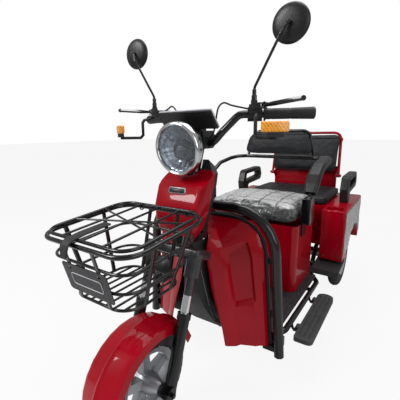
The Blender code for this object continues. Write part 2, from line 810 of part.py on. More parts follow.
def brake_lever(side):
    """Curved lever blade with its pivot eye and a ball end."""
    pivot = lever_pivot(side)
    tip = mirror_x(LEVER_TIP, side)
    _, _, ahead = grip_frame(side)
    run = tip - pivot
    bow = ahead * 0.010
    end = tip - run.normalized() * 0.008
    eye = rod(pivot - UP * LEVER_HALF, pivot + UP * LEVER_HALF, 0.0092, 12)
    path = [pivot, pivot + run * 0.22 + bow, pivot + run * 0.60 + bow * 0.8, end]
    rings = []
    for index, point in enumerate(path):
        before = path[max(index - 1, 0)]
        after = path[min(index + 1, len(path) - 1)]
        along = (after - before).normalized()
        across = UP.cross(along).normalized()
        over = along.cross(across)
        wide = 0.0078 - 0.0012 * index
        thick = LEVER_HALF - 0.0003 if index == 0 else 0.0062
        rings.append([point + across * (wide * a) + over * (thick * b) for a, b in
                      ((1, 0.0), (0.55, 1), (-0.55, 1), (-1, 0.0), (-0.55, -1), (0.55, -1))])
    ball = ball_at(end, 0.0078, 8)
    hole = rod(pivot - UP * 0.02, pivot + UP * 0.02, LEVER_PIN + PIVOT_GAP, 8)
    return cut(union([eye, loft(rings), ball]), [hole])


def ball_at(centre, radius, segments=12):
    """A small sphere."""
    shape = bmesh.new()
    bmesh.ops.create_uvsphere(shape, u_segments=segments, v_segments=segments // 2,
                              radius=radius, matrix=Matrix.Translation(centre))
    return from_bmesh("ball", shape)


MIRROR_RISE = 0.036
MIRROR_HEAD = Vector((0.297, -0.384, 1.226))
MIRROR_RADIUS = 0.054
MIRROR_BALL = 0.0070


def mirror_ball(side):
    """Centre of the ball that a mirror head tilts on."""
    return mirror_x(MIRROR_HEAD, side) - Vector((0.0, 0.0085 + MIRROR_BALL, 0.0))


def mirror_stem(side):
    """Threaded foot with its nut, a bent rod and a ball at the top."""
    base = mirror_x(MIRROR_BASE, side)
    foot = base + UP * SEAT_GAP
    top = mirror_ball(side)
    knee = base + UP * MIRROR_RISE
    neck = top + (knee - top).normalized() * 0.034 - Vector((0.0, 0.0080, 0.0))
    path = rounded([foot, knee, neck, top], 0.015, 1)
    return union([tube(path, 0.0045, detail=1), rod(foot, foot + UP * 0.014, 0.0082, 6),
                  rod(foot + UP * 0.010, foot + UP * 0.030, 0.0066, 8),
                  ball_at(top, MIRROR_BALL, 8)])


def mirror_head(side):
    """Round dished mirror head, its glass toward the driver."""
    centre = mirror_x(MIRROR_HEAD, side)
    place = Matrix.Translation(centre) @ frame_of((0.0, 1.0, 0.0))
    edge = MIRROR_RADIUS
    profile = [(0.0, 0.010), (edge - 0.003, 0.010), (edge, 0.007), (edge * 0.86, -0.003),
               (edge * 0.45, -0.0075), (0.0, -0.0080)]
    return turned(profile, place, 20)


def cable_points(side):
    """Outer brake cable: out of the perch, over in an arc and down into the nacelle's side."""
    start, out, ahead = grip_frame(side)
    leave = start - out * (POD_IN + 0.0010) + ahead * 0.041 + UP * 0.014
    route = [leave, (0.131 * side, -0.408, 1.014), (0.105 * side, -0.415, 1.023),
             (0.086 * side, -0.417, 1.008), (0.074 * side, -0.412, 0.970),
             (0.062 * side, -0.408, 0.930), ((NACELLE_HALF + 0.0020) * side, -0.406, 0.912)]
    return smooth_route(route, 2)


def smooth_route(points, steps):
    """Points on a Catmull-Rom curve through the route."""
    points = [Vector(p) for p in points]
    ends = [points[0] * 2 - points[1]] + points + [points[-1] * 2 - points[-2]]
    path = []
    for i in range(1, len(ends) - 2):
        a, b, c, d = ends[i - 1], ends[i], ends[i + 1], ends[i + 2]
        for step in range(steps):
            t = step / steps
            path.append(((b * 2) + (c - a) * t + (a * 2 - b * 5 + c * 4 - d) * t * t
                         + (b * 3 - a - c * 3 + d) * t ** 3) / 2)
    path.append(points[-1])
    return path


CABLE_RADIUS = 0.0028


def dash_display():
    """Sloping display case on the nacelle that hides the bar clamp."""
    down = Vector((0.0, math.cos(DASH_TILT), -math.sin(DASH_TILT)))
    face = Vector((0.0, math.sin(DASH_TILT), math.cos(DASH_TILT)))
    low_end = DASH_TOP + down * DASH_LENGTH
    side = [DASH_TOP, low_end, low_end - face * DASH_THICK,
            low_end - down * 0.010 - face * (DASH_THICK + 0.008), DASH_TOP - face * DASH_THICK]
    case = prism([[(p.y, p.z) for p in side]], DASH_WIDTH, side_plane(0.0))
    seat = on_axis(BAR_SEAT, 0.004)
    front_y = nacelle_front()
    low, high = seat.z - 0.018, seat.z + 0.042
    rings = []
    for z, grow in ((low, -0.006), (low + 0.010, 0.0), (high - 0.018, 0.0), (high, -0.006)):
        half = NACELLE_HALF + grow
        rear_y = seat.y + 0.046 + grow
        corners = [(half, front_y), (half, rear_y), (-half, rear_y), (-half, front_y)]
        outline = flat_path(corners, [0.001, 0.012, 0.012, 0.001], 2)
        rings.append([(a, b, z) for a, b in outline])
    neck = box((-0.034, front_y - 0.006, high - 0.020), (0.034, front_y + 0.030, low_end.z + 0.003))
    back = lamp_place() @ Matrix.Translation((0.0, 0.0, -BUCKET_DEPTH - SEAT_GAP))
    boss = rod(back @ Vector((0.0, 0.0, -0.014)), back @ Vector((0.0, 0.0, 0.0)), 0.0180, 12)
    body = union([loft(rings), neck, case, boss])
    sleeve = rod(on_axis(HEAD_TUBE_TOP), on_axis(STEM_TOP + 0.022), RISER_RADIUS + SEAT_GAP, 12)
    reach = NACELLE_HALF + 0.02
    slot = rod((-reach, seat.y, seat.z), (reach, seat.y, seat.z), BAR_BORE, 12)
    return cut(body, [sleeve, slot])


def nacelle_front():
    """Front face of the nacelle, where the head lamp's boss sits."""
    return LAMP_CENTRE.y + math.cos(LAMP_TILT) * (BUCKET_DEPTH + SEAT_GAP) + 0.0035


def lamp_place():
    """Local +Z looks out of the head lamp."""
    ahead = Vector((0.0, -math.cos(LAMP_TILT), -math.sin(LAMP_TILT)))
    return Matrix.Translation(LAMP_CENTRE) @ frame_of(ahead)


def headlight_shell():
    """Deep bucket, open to the front, with a boss that bolts to the nacelle."""
    r = LAMP_RADIUS
    wall = 0.0028
    profile = [(r - 0.004, -0.006), (r - 0.004, -0.026), (r - 0.016, -0.052), (r - 0.040, -0.071),
               (0.022, -0.077), (0.022, -BUCKET_DEPTH), (0.0, -BUCKET_DEPTH), (0.0, -0.072),
               (r - 0.042, -0.067), (r - 0.0125, -0.036), (r - 0.004 - wall, -0.006)]
    return turned(profile, lamp_place(), LAMP_STEPS)


def headlight_ring():
    """Chromed bezel that closes over the bucket's lip."""
    r = LAMP_RADIUS
    lip = r - 0.004 + SEAT_GAP
    inner = r - 0.012
    profile = [(lip, -0.022), (lip, -0.0054), (inner, -0.0054), (inner, 0.0030),
               (r - 0.006, 0.0070), (r, 0.0010), (r, -0.022)]
    return turned(profile, lamp_place(), LAMP_STEPS)


def headlight_lens():
    """Domed lens seated inside the bezel."""
    r = LAMP_RADIUS - 0.012 - SEAT_GAP
    profile = [(0.0, 0.0100), (r * 0.55, 0.0080), (r, 0.0010), (r, -0.0020), (r * 0.55, 0.0050),
               (0.0, 0.0070)]
    return turned(profile, lamp_place(), LAMP_STEPS)


def horn():
    """Disc horn on the tab under the front of the yoke."""
    centre = on_axis(HORN_ALONG, crown_front() + SEAT_GAP + 0.0200)
    place = Matrix.Translation(centre) @ frame_of(AHEAD)
    r = 0.036
    profile = [(0.0, 0.012), (r * 0.45, 0.012), (r * 0.55, 0.008), (r, 0.004),
               (r, -0.003), (0.012, -0.010), (0.012, -0.0200), (0.0, -0.0200)]
    return turned(profile, place, 16)


# Basket

def basket_level(share):
    """Half width, back, front, back height and front height of a basket ring."""
    def blend(top, foot):
        return top + (foot - top) * share
    return (blend(BASKET_HALF, BASKET_FOOT_HALF), blend(BASKET_BACK, BASKET_FOOT_BACK),
            blend(BASKET_FRONT, BASKET_FOOT_FRONT), blend(BASKET_TOP_BACK, BASKET_FOOT_Z),
            blend(BASKET_TOP_FRONT, BASKET_FOOT_Z))


def basket_ring(share, inset=0.0, lift=0.0, corner=0.058, steps=2):
    half, back, front, back_z, front_z = basket_level(share)
    half -= inset
    back -= inset
    front += inset
    corners = [(half, back, back_z + lift), (half, front, front_z + lift),
               (-half, front, front_z + lift), (-half, back, back_z + lift)]
    return rounded(corners, corner - inset, steps, closed=True)


def basket_side_point(y_share, share, side):
    """A point on the basket's side wall; y_share runs from back to front."""
    half, back, front, back_z, front_z = basket_level(share)
    return Vector((half * side, back + (front - back) * y_share,
                   back_z + (front_z - back_z) * y_share))


def basket_end_point(x, share, ahead):
    """A point on the basket's front or back wall."""
    _, back, front, back_z, front_z = basket_level(share)
    return Vector((x, front if ahead else back, front_z if ahead else back_z))


def basket():
    """Welded wire basket: four rings, side and end strips and a rod floor."""
    parts = [tube(basket_ring(0.0), BASKET_RIM_RADIUS, closed=True, detail=1)]
    for share in (0.30, 0.66, 1.0):
        parts.append(tube(basket_ring(share, corner=0.054), BASKET_ROD_RADIUS, closed=True,
                          detail=0))
    for side in (1, -1):
        for y_share in (0.30, 0.74):
            top = basket_side_point(y_share, 0.0, side)
            foot = basket_side_point(y_share, 1.0, side)
            parts.append(strip(top, foot, SIDEWAYS * side, 0.014))
    for x in (-0.055, 0.055):
        for ahead in (True, False):
            top = basket_end_point(x, 0.0, ahead)
            foot = basket_end_point(x, 1.0, ahead)
            out = Vector((0.0, -1.0 if ahead else 1.0, 0.0))
            parts.append(strip(top, foot, out, 0.014))
    _, back, front, _, _ = basket_level(1.0)
    for x in (-0.056, 0.0, 0.056):
        parts.append(rod((x, back, BASKET_FOOT_Z), (x, front, BASKET_FOOT_Z), 0.0034, 4))
    return union(parts)


def strip(top, foot, out, width):
    """Flat bar from one ring to another, its broad face looking outwards."""
    along = (foot - top).normalized()
    across = along.cross(out).normalized()
    normal = across.cross(along).normalized()
    thick = 0.0026
    rings = []
    for point in (top, foot):
        rings.append([point + across * (a * width / 2) + normal * (STRIP_FACE + (b - 1) * thick / 2)
                      for a, b in ((1, 1), (-1, 1), (-1, -1), (1, -1))])
    return loft(rings)


def basket_lid():
    """Wire lid on two eyes round the rear rim, with long bars and a crossed pair."""
    inset = 0.010
    rise = LID_RISE
    rim = basket_ring(0.0, inset, rise, corner=0.058)
    parts = [tube(rim, 0.0045, closed=True, detail=1)]
    back = Vector((0.0, BASKET_BACK - inset, BASKET_TOP_BACK + rise))
    front = Vector((0.0, BASKET_FRONT + inset, BASKET_TOP_FRONT + rise))
    for x in (-0.075, 0.0, 0.075):
        parts.append(rod(back + SIDEWAYS * x, front + SIDEWAYS * x, 0.0032, 4))
    half = BASKET_HALF - inset

    def lid_point(x, part):
        return back.lerp(front, part) + SIDEWAYS * x

    parts.append(rod(lid_point(-half, 0.30), lid_point(half, 0.66), 0.0028, 4))
    parts.append(rod(lid_point(half, 0.30), lid_point(-half, 0.66), 0.0028, 4))
    hinge = Vector((0.0, BASKET_BACK, BASKET_TOP_BACK))
    ring_radius = BASKET_RIM_RADIUS + 0.0034 + PIVOT_GAP
    for x in (-0.090, 0.090):
        centre = hinge + SIDEWAYS * x
        circle = [centre + Vector((0.0, math.cos(a), math.sin(a))) * ring_radius
                  for a in (2 * math.pi * (i + 0.5) / 6 for i in range(6))]
        parts.append(tube(circle, 0.0022, closed=True, detail=0))
        toward = (back + SIDEWAYS * x - centre).normalized()
        parts.append(rod(centre + toward * ring_radius, back + SIDEWAYS * x, 0.0026, 4))
    return union(parts)


STRAP_X = -0.020
STRAP_WIDTH = 0.030
STRAP_THICK = 0.005


def strap_hinge():
    slope = (BASKET_TOP_FRONT - BASKET_TOP_BACK) / (BASKET_FRONT - BASKET_BACK)
    y = BASKET_FRONT + 0.108
    z = BASKET_TOP_BACK + LID_RISE + slope * (y - BASKET_BACK) + 0.0076
    return Vector((STRAP_X, y, z))


def lid_strap():
    """Rubber strap that lies on the lid and folds down over the front rim."""
    hinge = strap_hinge()
    top = BASKET_TOP_FRONT + LID_RISE + 0.0081
    front = -(OVERALL_REACH - STRAP_THICK / 2)
    path = rounded([hinge, (STRAP_X, BASKET_FRONT + 0.030, top + 0.002),
                    (STRAP_X, front + 0.004, top - 0.006), (STRAP_X, front, BASKET_TOP_FRONT - 0.022)],
                   0.020, 3)
    rings = []
    for index, point in enumerate(path):
        before = path[max(index - 1, 0)]
        after = path[min(index + 1, len(path) - 1)]
        along = (after - before).normalized()
        over = along.cross(SIDEWAYS).normalized()
        width = STRAP_WIDTH * (1.0 if index < len(path) - 1 else 0.72)
        rings.append([point + SIDEWAYS * (a * width / 2) + over * (b * STRAP_THICK / 2)
                      for a, b in ((1, 0.6), (0.8, 1), (-0.8, 1), (-1, 0.6), (-1, -1), (1, -1))])
    return loft(rings)


def number_plate():
    """Plain plate hung on the basket's front strips."""
    top = basket_end_point(0.0, 0.0, True)
    foot = basket_end_point(0.0, 1.0, True)
    along = (foot - top).normalized()
    normal = Vector((0.0, along.z, -along.y))
    centre = top + along * 0.098 + normal * (STRIP_FACE + SEAT_GAP + PLATE_THICK / 2)
    turn = Matrix((SIDEWAYS, -along, normal)).transposed().to_4x4()
    half_w, half_h = PLATE_WIDTH / 2, PLATE_HEIGHT / 2
    outline = flat_path([(half_w, half_h), (-half_w, half_h), (-half_w, -half_h),
                         (half_w, -half_h)], 0.006, 1)
    slots = []
    for x in (-0.055, 0.055):
        slot = flat_path([(x + 0.008, half_h - 0.010), (x - 0.008, half_h - 0.010),
                          (x - 0.008, half_h - 0.016), (x + 0.008, half_h - 0.016)], 0.0028, 1)
        slots.append(slot)
    return prism([outline] + slots, PLATE_THICK, Matrix.Translation(centre) @ turn)


# Column cover, leg shield and liner

def column_outline(half, front, back, slant):
    """U outline across the steering axis, as (side, ahead) points; a slant narrows its back."""
    side = [(half, back), (half, front - 0.022), (half * 0.93, front - 0.006), (half * 0.75, front)]
    if slant > 0.0:
        side = [(half - 1.4 * slant, back), (half, back + slant)] + side[1:]
    return side + [(-a, b) for a, b in reversed(side)]


def column_block(inset, foot, top, back, slant=0.0):
    """Solid of the column cover, or of its hollow when it is inset."""
    rings = []
    for part, width, lead in ((0.0, 0.66, 0.60), (0.10, 0.86, 0.84), (0.28, 0.98, 1.0),
                              (0.60, 1.0, 1.0), (1.0, 0.90, 0.92)):
        along = foot + (top - foot) * part
        half = COLUMN_HALF * width - inset
        front = COLUMN_FRONT * lead - inset
        rings.append([on_axis(along, b, a) for a, b in column_outline(half, front, back, slant)])
    return loft(rings)


def above_column(drop):
    """What lies above the column's top and its front and side slopes, or lower by a drop."""
    turn = Matrix.Rotation(BROW_SLOPE, 4, 'X')
    normal = Vector((0.0, -math.sin(BROW_SLOPE), math.cos(BROW_SLOPE)))
    above = [box((-0.2, -0.7, COLUMN_LEVEL - drop), (0.2, -0.2, COLUMN_LEVEL + 0.2)),
             block_at(COLUMN_BROW + normal * (0.10 - drop), (0.5, 0.5, 0.2), turn)]
    for _, side in SIDES:
        turn = Matrix.Rotation(SHOULDER_SLOPE * side, 4, 'Y')
        normal = Vector((math.sin(SHOULDER_SLOPE) * side, 0.0, math.cos(SHOULDER_SLOPE)))
        middle = mirror_x(COLUMN_SHOULDER, side) + normal * (0.10 - drop)
        above.append(block_at(middle + Vector((0.0, -0.45, 0.0)), (0.4, 0.5, 0.2), turn))
    return above


def head_cover():
    """Red cover of the steering head: open at the back, closed by a sloping top."""
    cover = cut(column_block(0.0, COLUMN_FOOT, COLUMN_TOP, COLUMN_BACK), above_column(0.0))
    hollow = column_block(COLUMN_WALL, COLUMN_FOOT + COLUMN_WALL, COLUMN_TOP, COLUMN_BACK - 0.02)
    hollow = cut(hollow, above_column(COLUMN_WALL))
    hole = rod(on_axis(COLUMN_FOOT - 0.03), on_axis(COLUMN_TOP + 0.03), STEM_HOLE, 12)
    return cut(cover, [hollow, hole])


def shield_edge(grow, count=40):
    """Outer edge of the leg shield from the left foot over the top to the right foot."""
    corners = [(SHIELD_FOOT_HALF + grow, SHIELD_FOOT), (SHIELD_TOP_HALF + grow, SHIELD_TOP + grow),
               (-SHIELD_TOP_HALF - grow, SHIELD_TOP + grow), (-SHIELD_FOOT_HALF - grow, SHIELD_FOOT)]
    path = rounded([(a, 0.0, b) for a, b in corners], SHIELD_CORNER + grow, 8)
    return resample(path, count)


def arch_edge(grow, count=40):
    """Edge of the opening round the prow, from the left foot to the right foot."""
    side = [Vector((half + grow, 0.0, z)) for z, half, _ in reversed(PROW_ROWS)]
    side[-1].z = PROW_ROOF + grow
    path = side + [Vector((-p.x, 0.0, p.z)) for p in reversed(side)]
    bends = [0.0] + [0.12] * (len(side) - 2) + [0.003, 0.003] + [0.12] * (len(side) - 2) + [0.0]
    return resample(rounded(path, bends, 2), count)


def resample(path, count):
    """The same path with evenly spaced points."""
    lengths = [0.0]
    for a, b in zip(path, path[1:]):
        lengths.append(lengths[-1] + (b - a).length)
    total = lengths[-1]
    result = []
    place = 0
    for index in range(count):
        want = total * index / (count - 1)
        while place < len(lengths) - 2 and lengths[place + 1] < want:
            place += 1
        span = max(lengths[place + 1] - lengths[place], 1e-9)
        part = (want - lengths[place]) / span
        result.append(path[place].lerp(path[place + 1], min(max(part, 0.0), 1.0)))
    return result


def leg_shield():
    """Red moulded panel, an arch in outline, with a raised border round a recess on each leg."""
    legs = (0.0, 0.10, 0.19, 0.26, 0.32, 0.35, 0.44, 0.53, 0.62, 0.69, 0.72, 0.86, 1.0)
    fine = 201
    outer = shield_edge(0.0, fine)
    inner = arch_edge(ARCH_GAP, fine)
    shares = [(0.0, 0.000), (0.05, 0.014), (0.20, 0.024), (0.27, 0.034), (0.66, 0.056),
              (0.73, 0.072), (0.93, 0.090), (1.0, 0.092)]
    shape = bmesh.new()
    rows = []
    for share in [-leg for leg in reversed(legs[1:])] + list(legs):
        index = round((share + 1.0) / 2.0 * (fine - 1))
        sunk = 0.335 < abs(share) < 0.705
        row = []
        for part, lead in shares:
            point = outer[index].lerp(inner[index], part)
            fade = min(1.0, (SHIELD_TOP - point.z) / 0.10 + 0.30)
            dip = SHIELD_RECESS if sunk and 0.23 < part < 0.70 else 0.0
            row.append(shape.verts.new((point.x, SHIELD_Y - lead * fade + dip, point.z)))
        rows.append(row)
    for row, after in zip(rows, rows[1:]):
        for i in range(len(row) - 1):
            shape.faces.new((row[i], row[i + 1], after[i + 1], after[i]))
    item = make_face(from_bmesh("shield", shape), Vector((0.0, -1.0, 0.0)))
    step = item.modifiers.new("wall", 'SOLIDIFY')
    step.thickness = SHIELD_WALL
    step.offset = -1.0
    return settle(item)


def make_face(item, direction):
    """Turn an open surface so that it looks in a direction."""
    shape = bmesh.new()
    shape.from_mesh(item.data)
    total = Vector((0.0, 0.0, 0.0))
    for face in shape.faces:
        total += face.normal * face.calc_area()
    if total.dot(direction) < 0:
        bmesh.ops.reverse_faces(shape, faces=shape.faces)
    shape.to_mesh(item.data)
    shape.free()
    return item


def smooth_step(low, high, value):
    part = min(max((value - low) / (high - low), 0.0), 1.0)
    return part * part * (3.0 - 2.0 * part)


def inner_shield():
    """Black liner: plate behind the leg shield, prow round the front wheel, column back."""
    front = SHIELD_Y + SHIELD_WALL + SEAT_GAP
    outer = [(p.x, p.z) for p in shield_edge(LINER_EDGE, 24)]
    plate = prism([outer], LINER_WALL, front_plane(front + LINER_WALL / 2))
    back = column_block(0.0, COLUMN_FOOT, COLUMN_TOP, -BACK_DEPTH, 0.020)
    back = cut(back, above_column(0.0))
    neck = box((-0.044, NECK_FRONT, PROW_ROOF - 0.003), (0.044, NECK_REAR, PROW_ROOF + 0.086))
    body = union([plate, wheel_house(0.0), neck, back])
    wall = LINER_WALL
    room = box((wall - 0.044, NECK_FRONT - 0.02, PROW_ROOF - 0.012),
               (0.044 - wall, NECK_REAR - wall, PROW_ROOF + 0.086 - wall))
    cover = column_block(-SEAT_GAP, COLUMN_FOOT - 0.02, COLUMN_TOP + 0.02, COLUMN_BACK - SEAT_GAP)
    cavity = column_block(COLUMN_WALL + 0.001, COLUMN_FOOT - 0.02, COLUMN_TOP + 0.02,
                          COLUMN_WALL - BACK_DEPTH, 0.020)
    cavity = cut(cavity, above_column(COLUMN_WALL))
    hole = rod(on_axis(0.30), on_axis(COLUMN_TOP + 0.05), STEM_HOLE, 12)
    return cut(body, [wheel_house(wall), room, cover, cavity, hole, tube_clearance()])


NECK_FRONT, NECK_REAR = -0.4770, -0.4200


def wheel_house(inset):
    """Prow that stands forward of the liner plate, or its hollow, which is open to the rear."""
    rings = []
    for z, half, lead in PROW_ROWS:
        level = z
        if inset and z == PROW_ROOF:
            level = z - inset
        if inset and z == SHIELD_FOOT:
            level = z - 0.01
        width = half - inset
        front = SHIELD_Y - lead + inset
        middle = SHIELD_Y - lead * 0.45 + inset * 0.5
        rear = SHIELD_Y + SHIELD_WALL + 0.003 + (0.02 if inset else 0.0)
        side = [(width, rear), (width, middle), (width * 0.45, front)]
        rings.append([(a, b, level) for a, b in side]
                     + [(-a, b, level) for a, b in reversed(side)])
    return loft(rings)


def tube_clearance():
    """Room in the liner for the down tube."""
    return tube(down_tube_path(), BACKBONE_RADIUS + 0.002)


def down_tube_path():
    start = on_axis(0.150, -0.010)
    low = FLOOR_TOP - FLOOR_THICK - SEAT_GAP - BACKBONE_RADIUS
    return rounded([start, (0.0, -0.385, 0.400), (0.0, -0.300, low), (0.0, BACKBONE_END, low)],
                   0.060, 3)


def crash_bar():
    """Thick black hoop round the leg shield, on tabs behind the liner and two foot brackets."""
    grow = LINER_EDGE + CRASH_GAP + CRASH_RADIUS
    top = SHIELD_TOP + grow
    foot = SHIELD_FOOT - 0.034
    plane = SHIELD_Y + 0.004
    edge = SHIELD_FOOT_HALF + grow
    half = [Vector((edge, plane, foot)), Vector((SHIELD_TOP_HALF + grow, plane, top))]
    corners = half + [mirror_x(p, -1) for p in reversed(half)]
    bends = [0.0, SHIELD_CORNER + grow]
    parts = [tube(rounded(corners, bends + bends[::-1], 6), CRASH_RADIUS)]
    rest = SHIELD_Y + SHIELD_WALL + SEAT_GAP + LINER_WALL + SEAT_GAP
    for _, side in SIDES:
        for z in (0.280, 0.480):
            x = edge + (SHIELD_TOP_HALF - SHIELD_FOOT_HALF) * (z - foot) / (top - foot)
            parts.append(box((min(x * side, (x - 0.075) * side), rest, z),
                             (max(x * side, (x - 0.075) * side), rest + 0.0045, z + 0.024)))
        near, far = (RAIL_X - 0.050) * side, edge * side
        parts.append(box((min(near, far), plane - 0.006, foot + 0.012),
                         (max(near, far), FRAME_FRONT, SHIELD_FOOT - 0.002)))
        parts.append(box((min(near, far), rest, foot + 0.012),
                         (max(near, far), FRAME_FRONT, RAIL_Z)))
    return cut(union(parts), [tube(rail_loop(), RAIL_RADIUS + SEAT_GAP, closed=True, detail=1)])


# Chassis

FRAME_FRONT = SHIELD_Y + 0.058         # centre line of the tube across the frame's front


def rail_loop():
    """Centre line of the side rails, joined across the front and the rear."""
    half = [(RAIL_X, FRAME_FRONT, RAIL_Z), (RAIL_X, 0.215, RAIL_Z), (CHASSIS_X, 0.340, RAIL_Z),
            (CHASSIS_X, 0.420, RAIL_Z), (CHASSIS_X, 0.495, CHASSIS_Z),
            (CHASSIS_X, BUMPER_Y, CHASSIS_Z)]
    other = [(-x, y, z) for x, y, z in reversed(half)]
    bends = [0.040, 0.050, 0.050, 0.045, 0.045, 0.035]
    return rounded(half + other, bends + bends[::-1], 2, closed=True)


def main_frame():
    """Tubular chassis: head tube, backbone, one loop of side rails, uprights and lugs."""
    foot = CAP_LENGTH + CROWN_THICK + 0.006
    rail_z = RAIL_Z
    parts = [tube(rail_loop(), RAIL_RADIUS, closed=True, detail=1),
             rod(on_axis(foot), on_axis(HEAD_TUBE_TOP), HEAD_TUBE_RADIUS, 14),
             tube(down_tube_path(), BACKBONE_RADIUS)]
    for _, side in SIDES:
        inner = CHASSIS_X * side
        for y in (BENCH_FRONT + 0.050, BENCH_BACK - 0.040):
            parts.append(rod((inner, y, CHASSIS_Z), (inner, y, BENCH_TOP - BENCH_WALL - SEAT_GAP),
                             0.010, 8))
        for y in board_lugs():
            parts += board_lug(side, y, rail_z)
        parts.append(box((inner - 0.009, REAR_AXLE_Y - 0.022,
                          TYRE_RADIUS + REAR_AXLE_RADIUS + SEAT_GAP),
                         (inner + 0.009, REAR_AXLE_Y + 0.022, CHASSIS_Z)))
    parts.append(rod((-RAIL_X, 0.120, rail_z), (RAIL_X, 0.120, rail_z), RAIL_RADIUS * 0.8, 6))
    parts.append(rod((-CHASSIS_X, BACKBONE_END - 0.02, rail_z),
                     (CHASSIS_X, BACKBONE_END - 0.02, rail_z), RAIL_RADIUS * 0.8, 6))
    for y in (0.560, 0.800):
        parts.append(rod((-CHASSIS_X, y, CHASSIS_Z), (CHASSIS_X, y, CHASSIS_Z),
                         RAIL_RADIUS * 0.8, 6))
    body = union(parts)
    bore = rod(on_axis(foot - 0.03), on_axis(HEAD_TUBE_TOP + 0.03), STEM_RADIUS + 0.0008, 12)
    return cut(body, [bore])


def board_lugs():
    """Where the two pivot lugs of a running board stand along the rail."""
    return (BOARD_FRONT + 0.060, BOARD_REAR - 0.090)


def board_lug(side, y, rail_z):
    """Ear under the floor rail, and the running board's pivot pin on it."""
    ear = [(RAIL_X - 0.010, rail_z), (RAIL_X + 0.0095, rail_z - 0.004),
           (BOARD_PIVOT_X - 0.0105, BOARD_PIVOT_Z + 0.0055),
           (BOARD_PIVOT_X + 0.0036, BOARD_PIVOT_Z + 0.0036),
           (BOARD_PIVOT_X + 0.0034, BOARD_PIVOT_Z - 0.0060),
           (BOARD_PIVOT_X - 0.010, BOARD_PIVOT_Z - 0.006)]
    plate = prism([[(a * side, b) for a, b in ear]], 0.008, front_plane(y))
    pin = rod((BOARD_PIVOT_X * side, y - 0.002, BOARD_PIVOT_Z),
              (BOARD_PIVOT_X * side, y + 0.036, BOARD_PIVOT_Z), BOARD_PIN_RADIUS, 10)
    return [plate, pin]


def floor_deck():
    """Ribbed foot board between the leg shield and the seat box."""
    ribs = 11
    top = FLOOR_TOP
    low = FLOOR_TOP - FLOOR_THICK
    rib_half = 0.0050
    outline = [(-FLOOR_HALF, low), (FLOOR_HALF, low), (FLOOR_HALF, top)]
    pitch = 2 * (FLOOR_HALF - 0.022) / (ribs - 1)
    for index in range(ribs):
        x = FLOOR_HALF - 0.022 - pitch * index
        outline += [(x + rib_half, top), (x + rib_half * 0.6, top - 0.0022),
                    (x - rib_half * 0.6, top - 0.0022), (x - rib_half, top)]
    outline.append((-FLOOR_HALF, top))
    deck = prism([outline], FLOOR_REAR - FLOOR_FRONT, front_plane((FLOOR_REAR + FLOOR_FRONT) / 2))
    near = BOX_HALF + 0.003
    gone = [box((min(near * side, 0.30 * side), 0.240, low - 0.01),
                (max(near * side, 0.30 * side), 0.40, top + 0.01)) for _, side in SIDES]
    clear = BACKBONE_RADIUS + 0.003
    gone.append(box((-clear, FLOOR_FRONT - 0.01, low - 0.01), (clear, -0.250, top + 0.01)))
    return cut(deck, gone)


def seat_box():
    """Red sheet steel box under the driver's seat, open at the top."""
    foot = FLOOR_TOP + SEAT_GAP
    middle = (BOX_TOP + foot) / 2
    wall = BOX_WALL

    def outline(inset, front, rear):
        half = BOX_HALF - inset
        corners = [(half, BOX_FRONT + inset), (half, BOX_REAR - inset), (-half, BOX_REAR - inset),
                   (-half, BOX_FRONT + inset)]
        return flat_path(corners, [front, rear, rear, front], 4)

    shell = prism([outline(0.0, 0.030, 0.012)], BOX_TOP - foot, Matrix.Translation((0, 0, middle)))
    hollow = prism([outline(wall, 0.0275, 0.0095)], BOX_TOP - foot,
                   Matrix.Translation((0, 0, middle + wall)))
    return cut(shell, [hollow])


def battery_pack():
    """Battery with a carrying handle, on the floor of the seat box."""
    foot = FLOOR_TOP + SEAT_GAP + BOX_WALL + SEAT_GAP
    case = box((-0.165, 0.035, foot), (0.165, 0.215, foot + 0.170), 0.006, 1)
    grip_path = rounded([(-0.060, 0.125, foot + 0.165), (-0.060, 0.125, foot + 0.205),
                         (0.060, 0.125, foot + 0.205), (0.060, 0.125, foot + 0.165)], 0.015, 2)
    return union([case, tube(grip_path, 0.006, detail=1)])


def hoop_path(side):
    """Centre line of the driver's arm rail from the seat side up to the middle of the back."""
    x = HOOP_X * side
    return [Vector((x, 0.072, 0.520)), Vector((x, 0.056, 0.640)), Vector((x, 0.124, 0.732)),
            Vector((x, 0.190, HOOP_Z - 0.026)), Vector((x, HOOP_Y, HOOP_Z)),
            Vector((0.0, HOOP_Y, HOOP_Z))]


def arm_rail(side, steps=2):
    return rounded(hoop_path(side), [0, 0.030, 0.060, 0.060, 0.070, 0], steps)


def hoop_run():
    """Whole centre line of the arm hoop, from the left foot to the right foot."""
    right = list(reversed(arm_rail(-1)))
    return arm_rail(1)[:-1] + right[1:]


def arm_hoop():
    """Black tube: arm rails, cross run behind the driver, back hoop and side brackets."""
    low, half = HOOP_Z, BACK_HOOP_HALF
    top = half - BACK_HOOP_NARROW
    lean = HOOP_Y + BACK_HOOP_LEAN
    hoop = rounded([(half, HOOP_Y, low), (top, lean, BACK_HOOP_TOP - BACK_HOOP_RADIUS),
                    (-top, lean, BACK_HOOP_TOP - BACK_HOOP_RADIUS), (-half, HOOP_Y, low)],
                   0.046, 4)
    parts = [tube(hoop_run(), HOOP_RADIUS, detail=1), tube(hoop, BACK_HOOP_RADIUS, detail=1)]
    for _, side in SIDES:
        near = BOX_HALF + SEAT_GAP
        far = HOOP_X + 0.014
        parts.append(box((min(near * side, far * side), 0.036, 0.530),
                         (max(near * side, far * side), 0.106, 0.644), 0.004, 1))
        parts.append(box((min(near * side, (near + 0.008) * side), 0.046, 0.470),
                         (max(near * side, (near + 0.008) * side), 0.096, 0.540)))
    return union(parts)


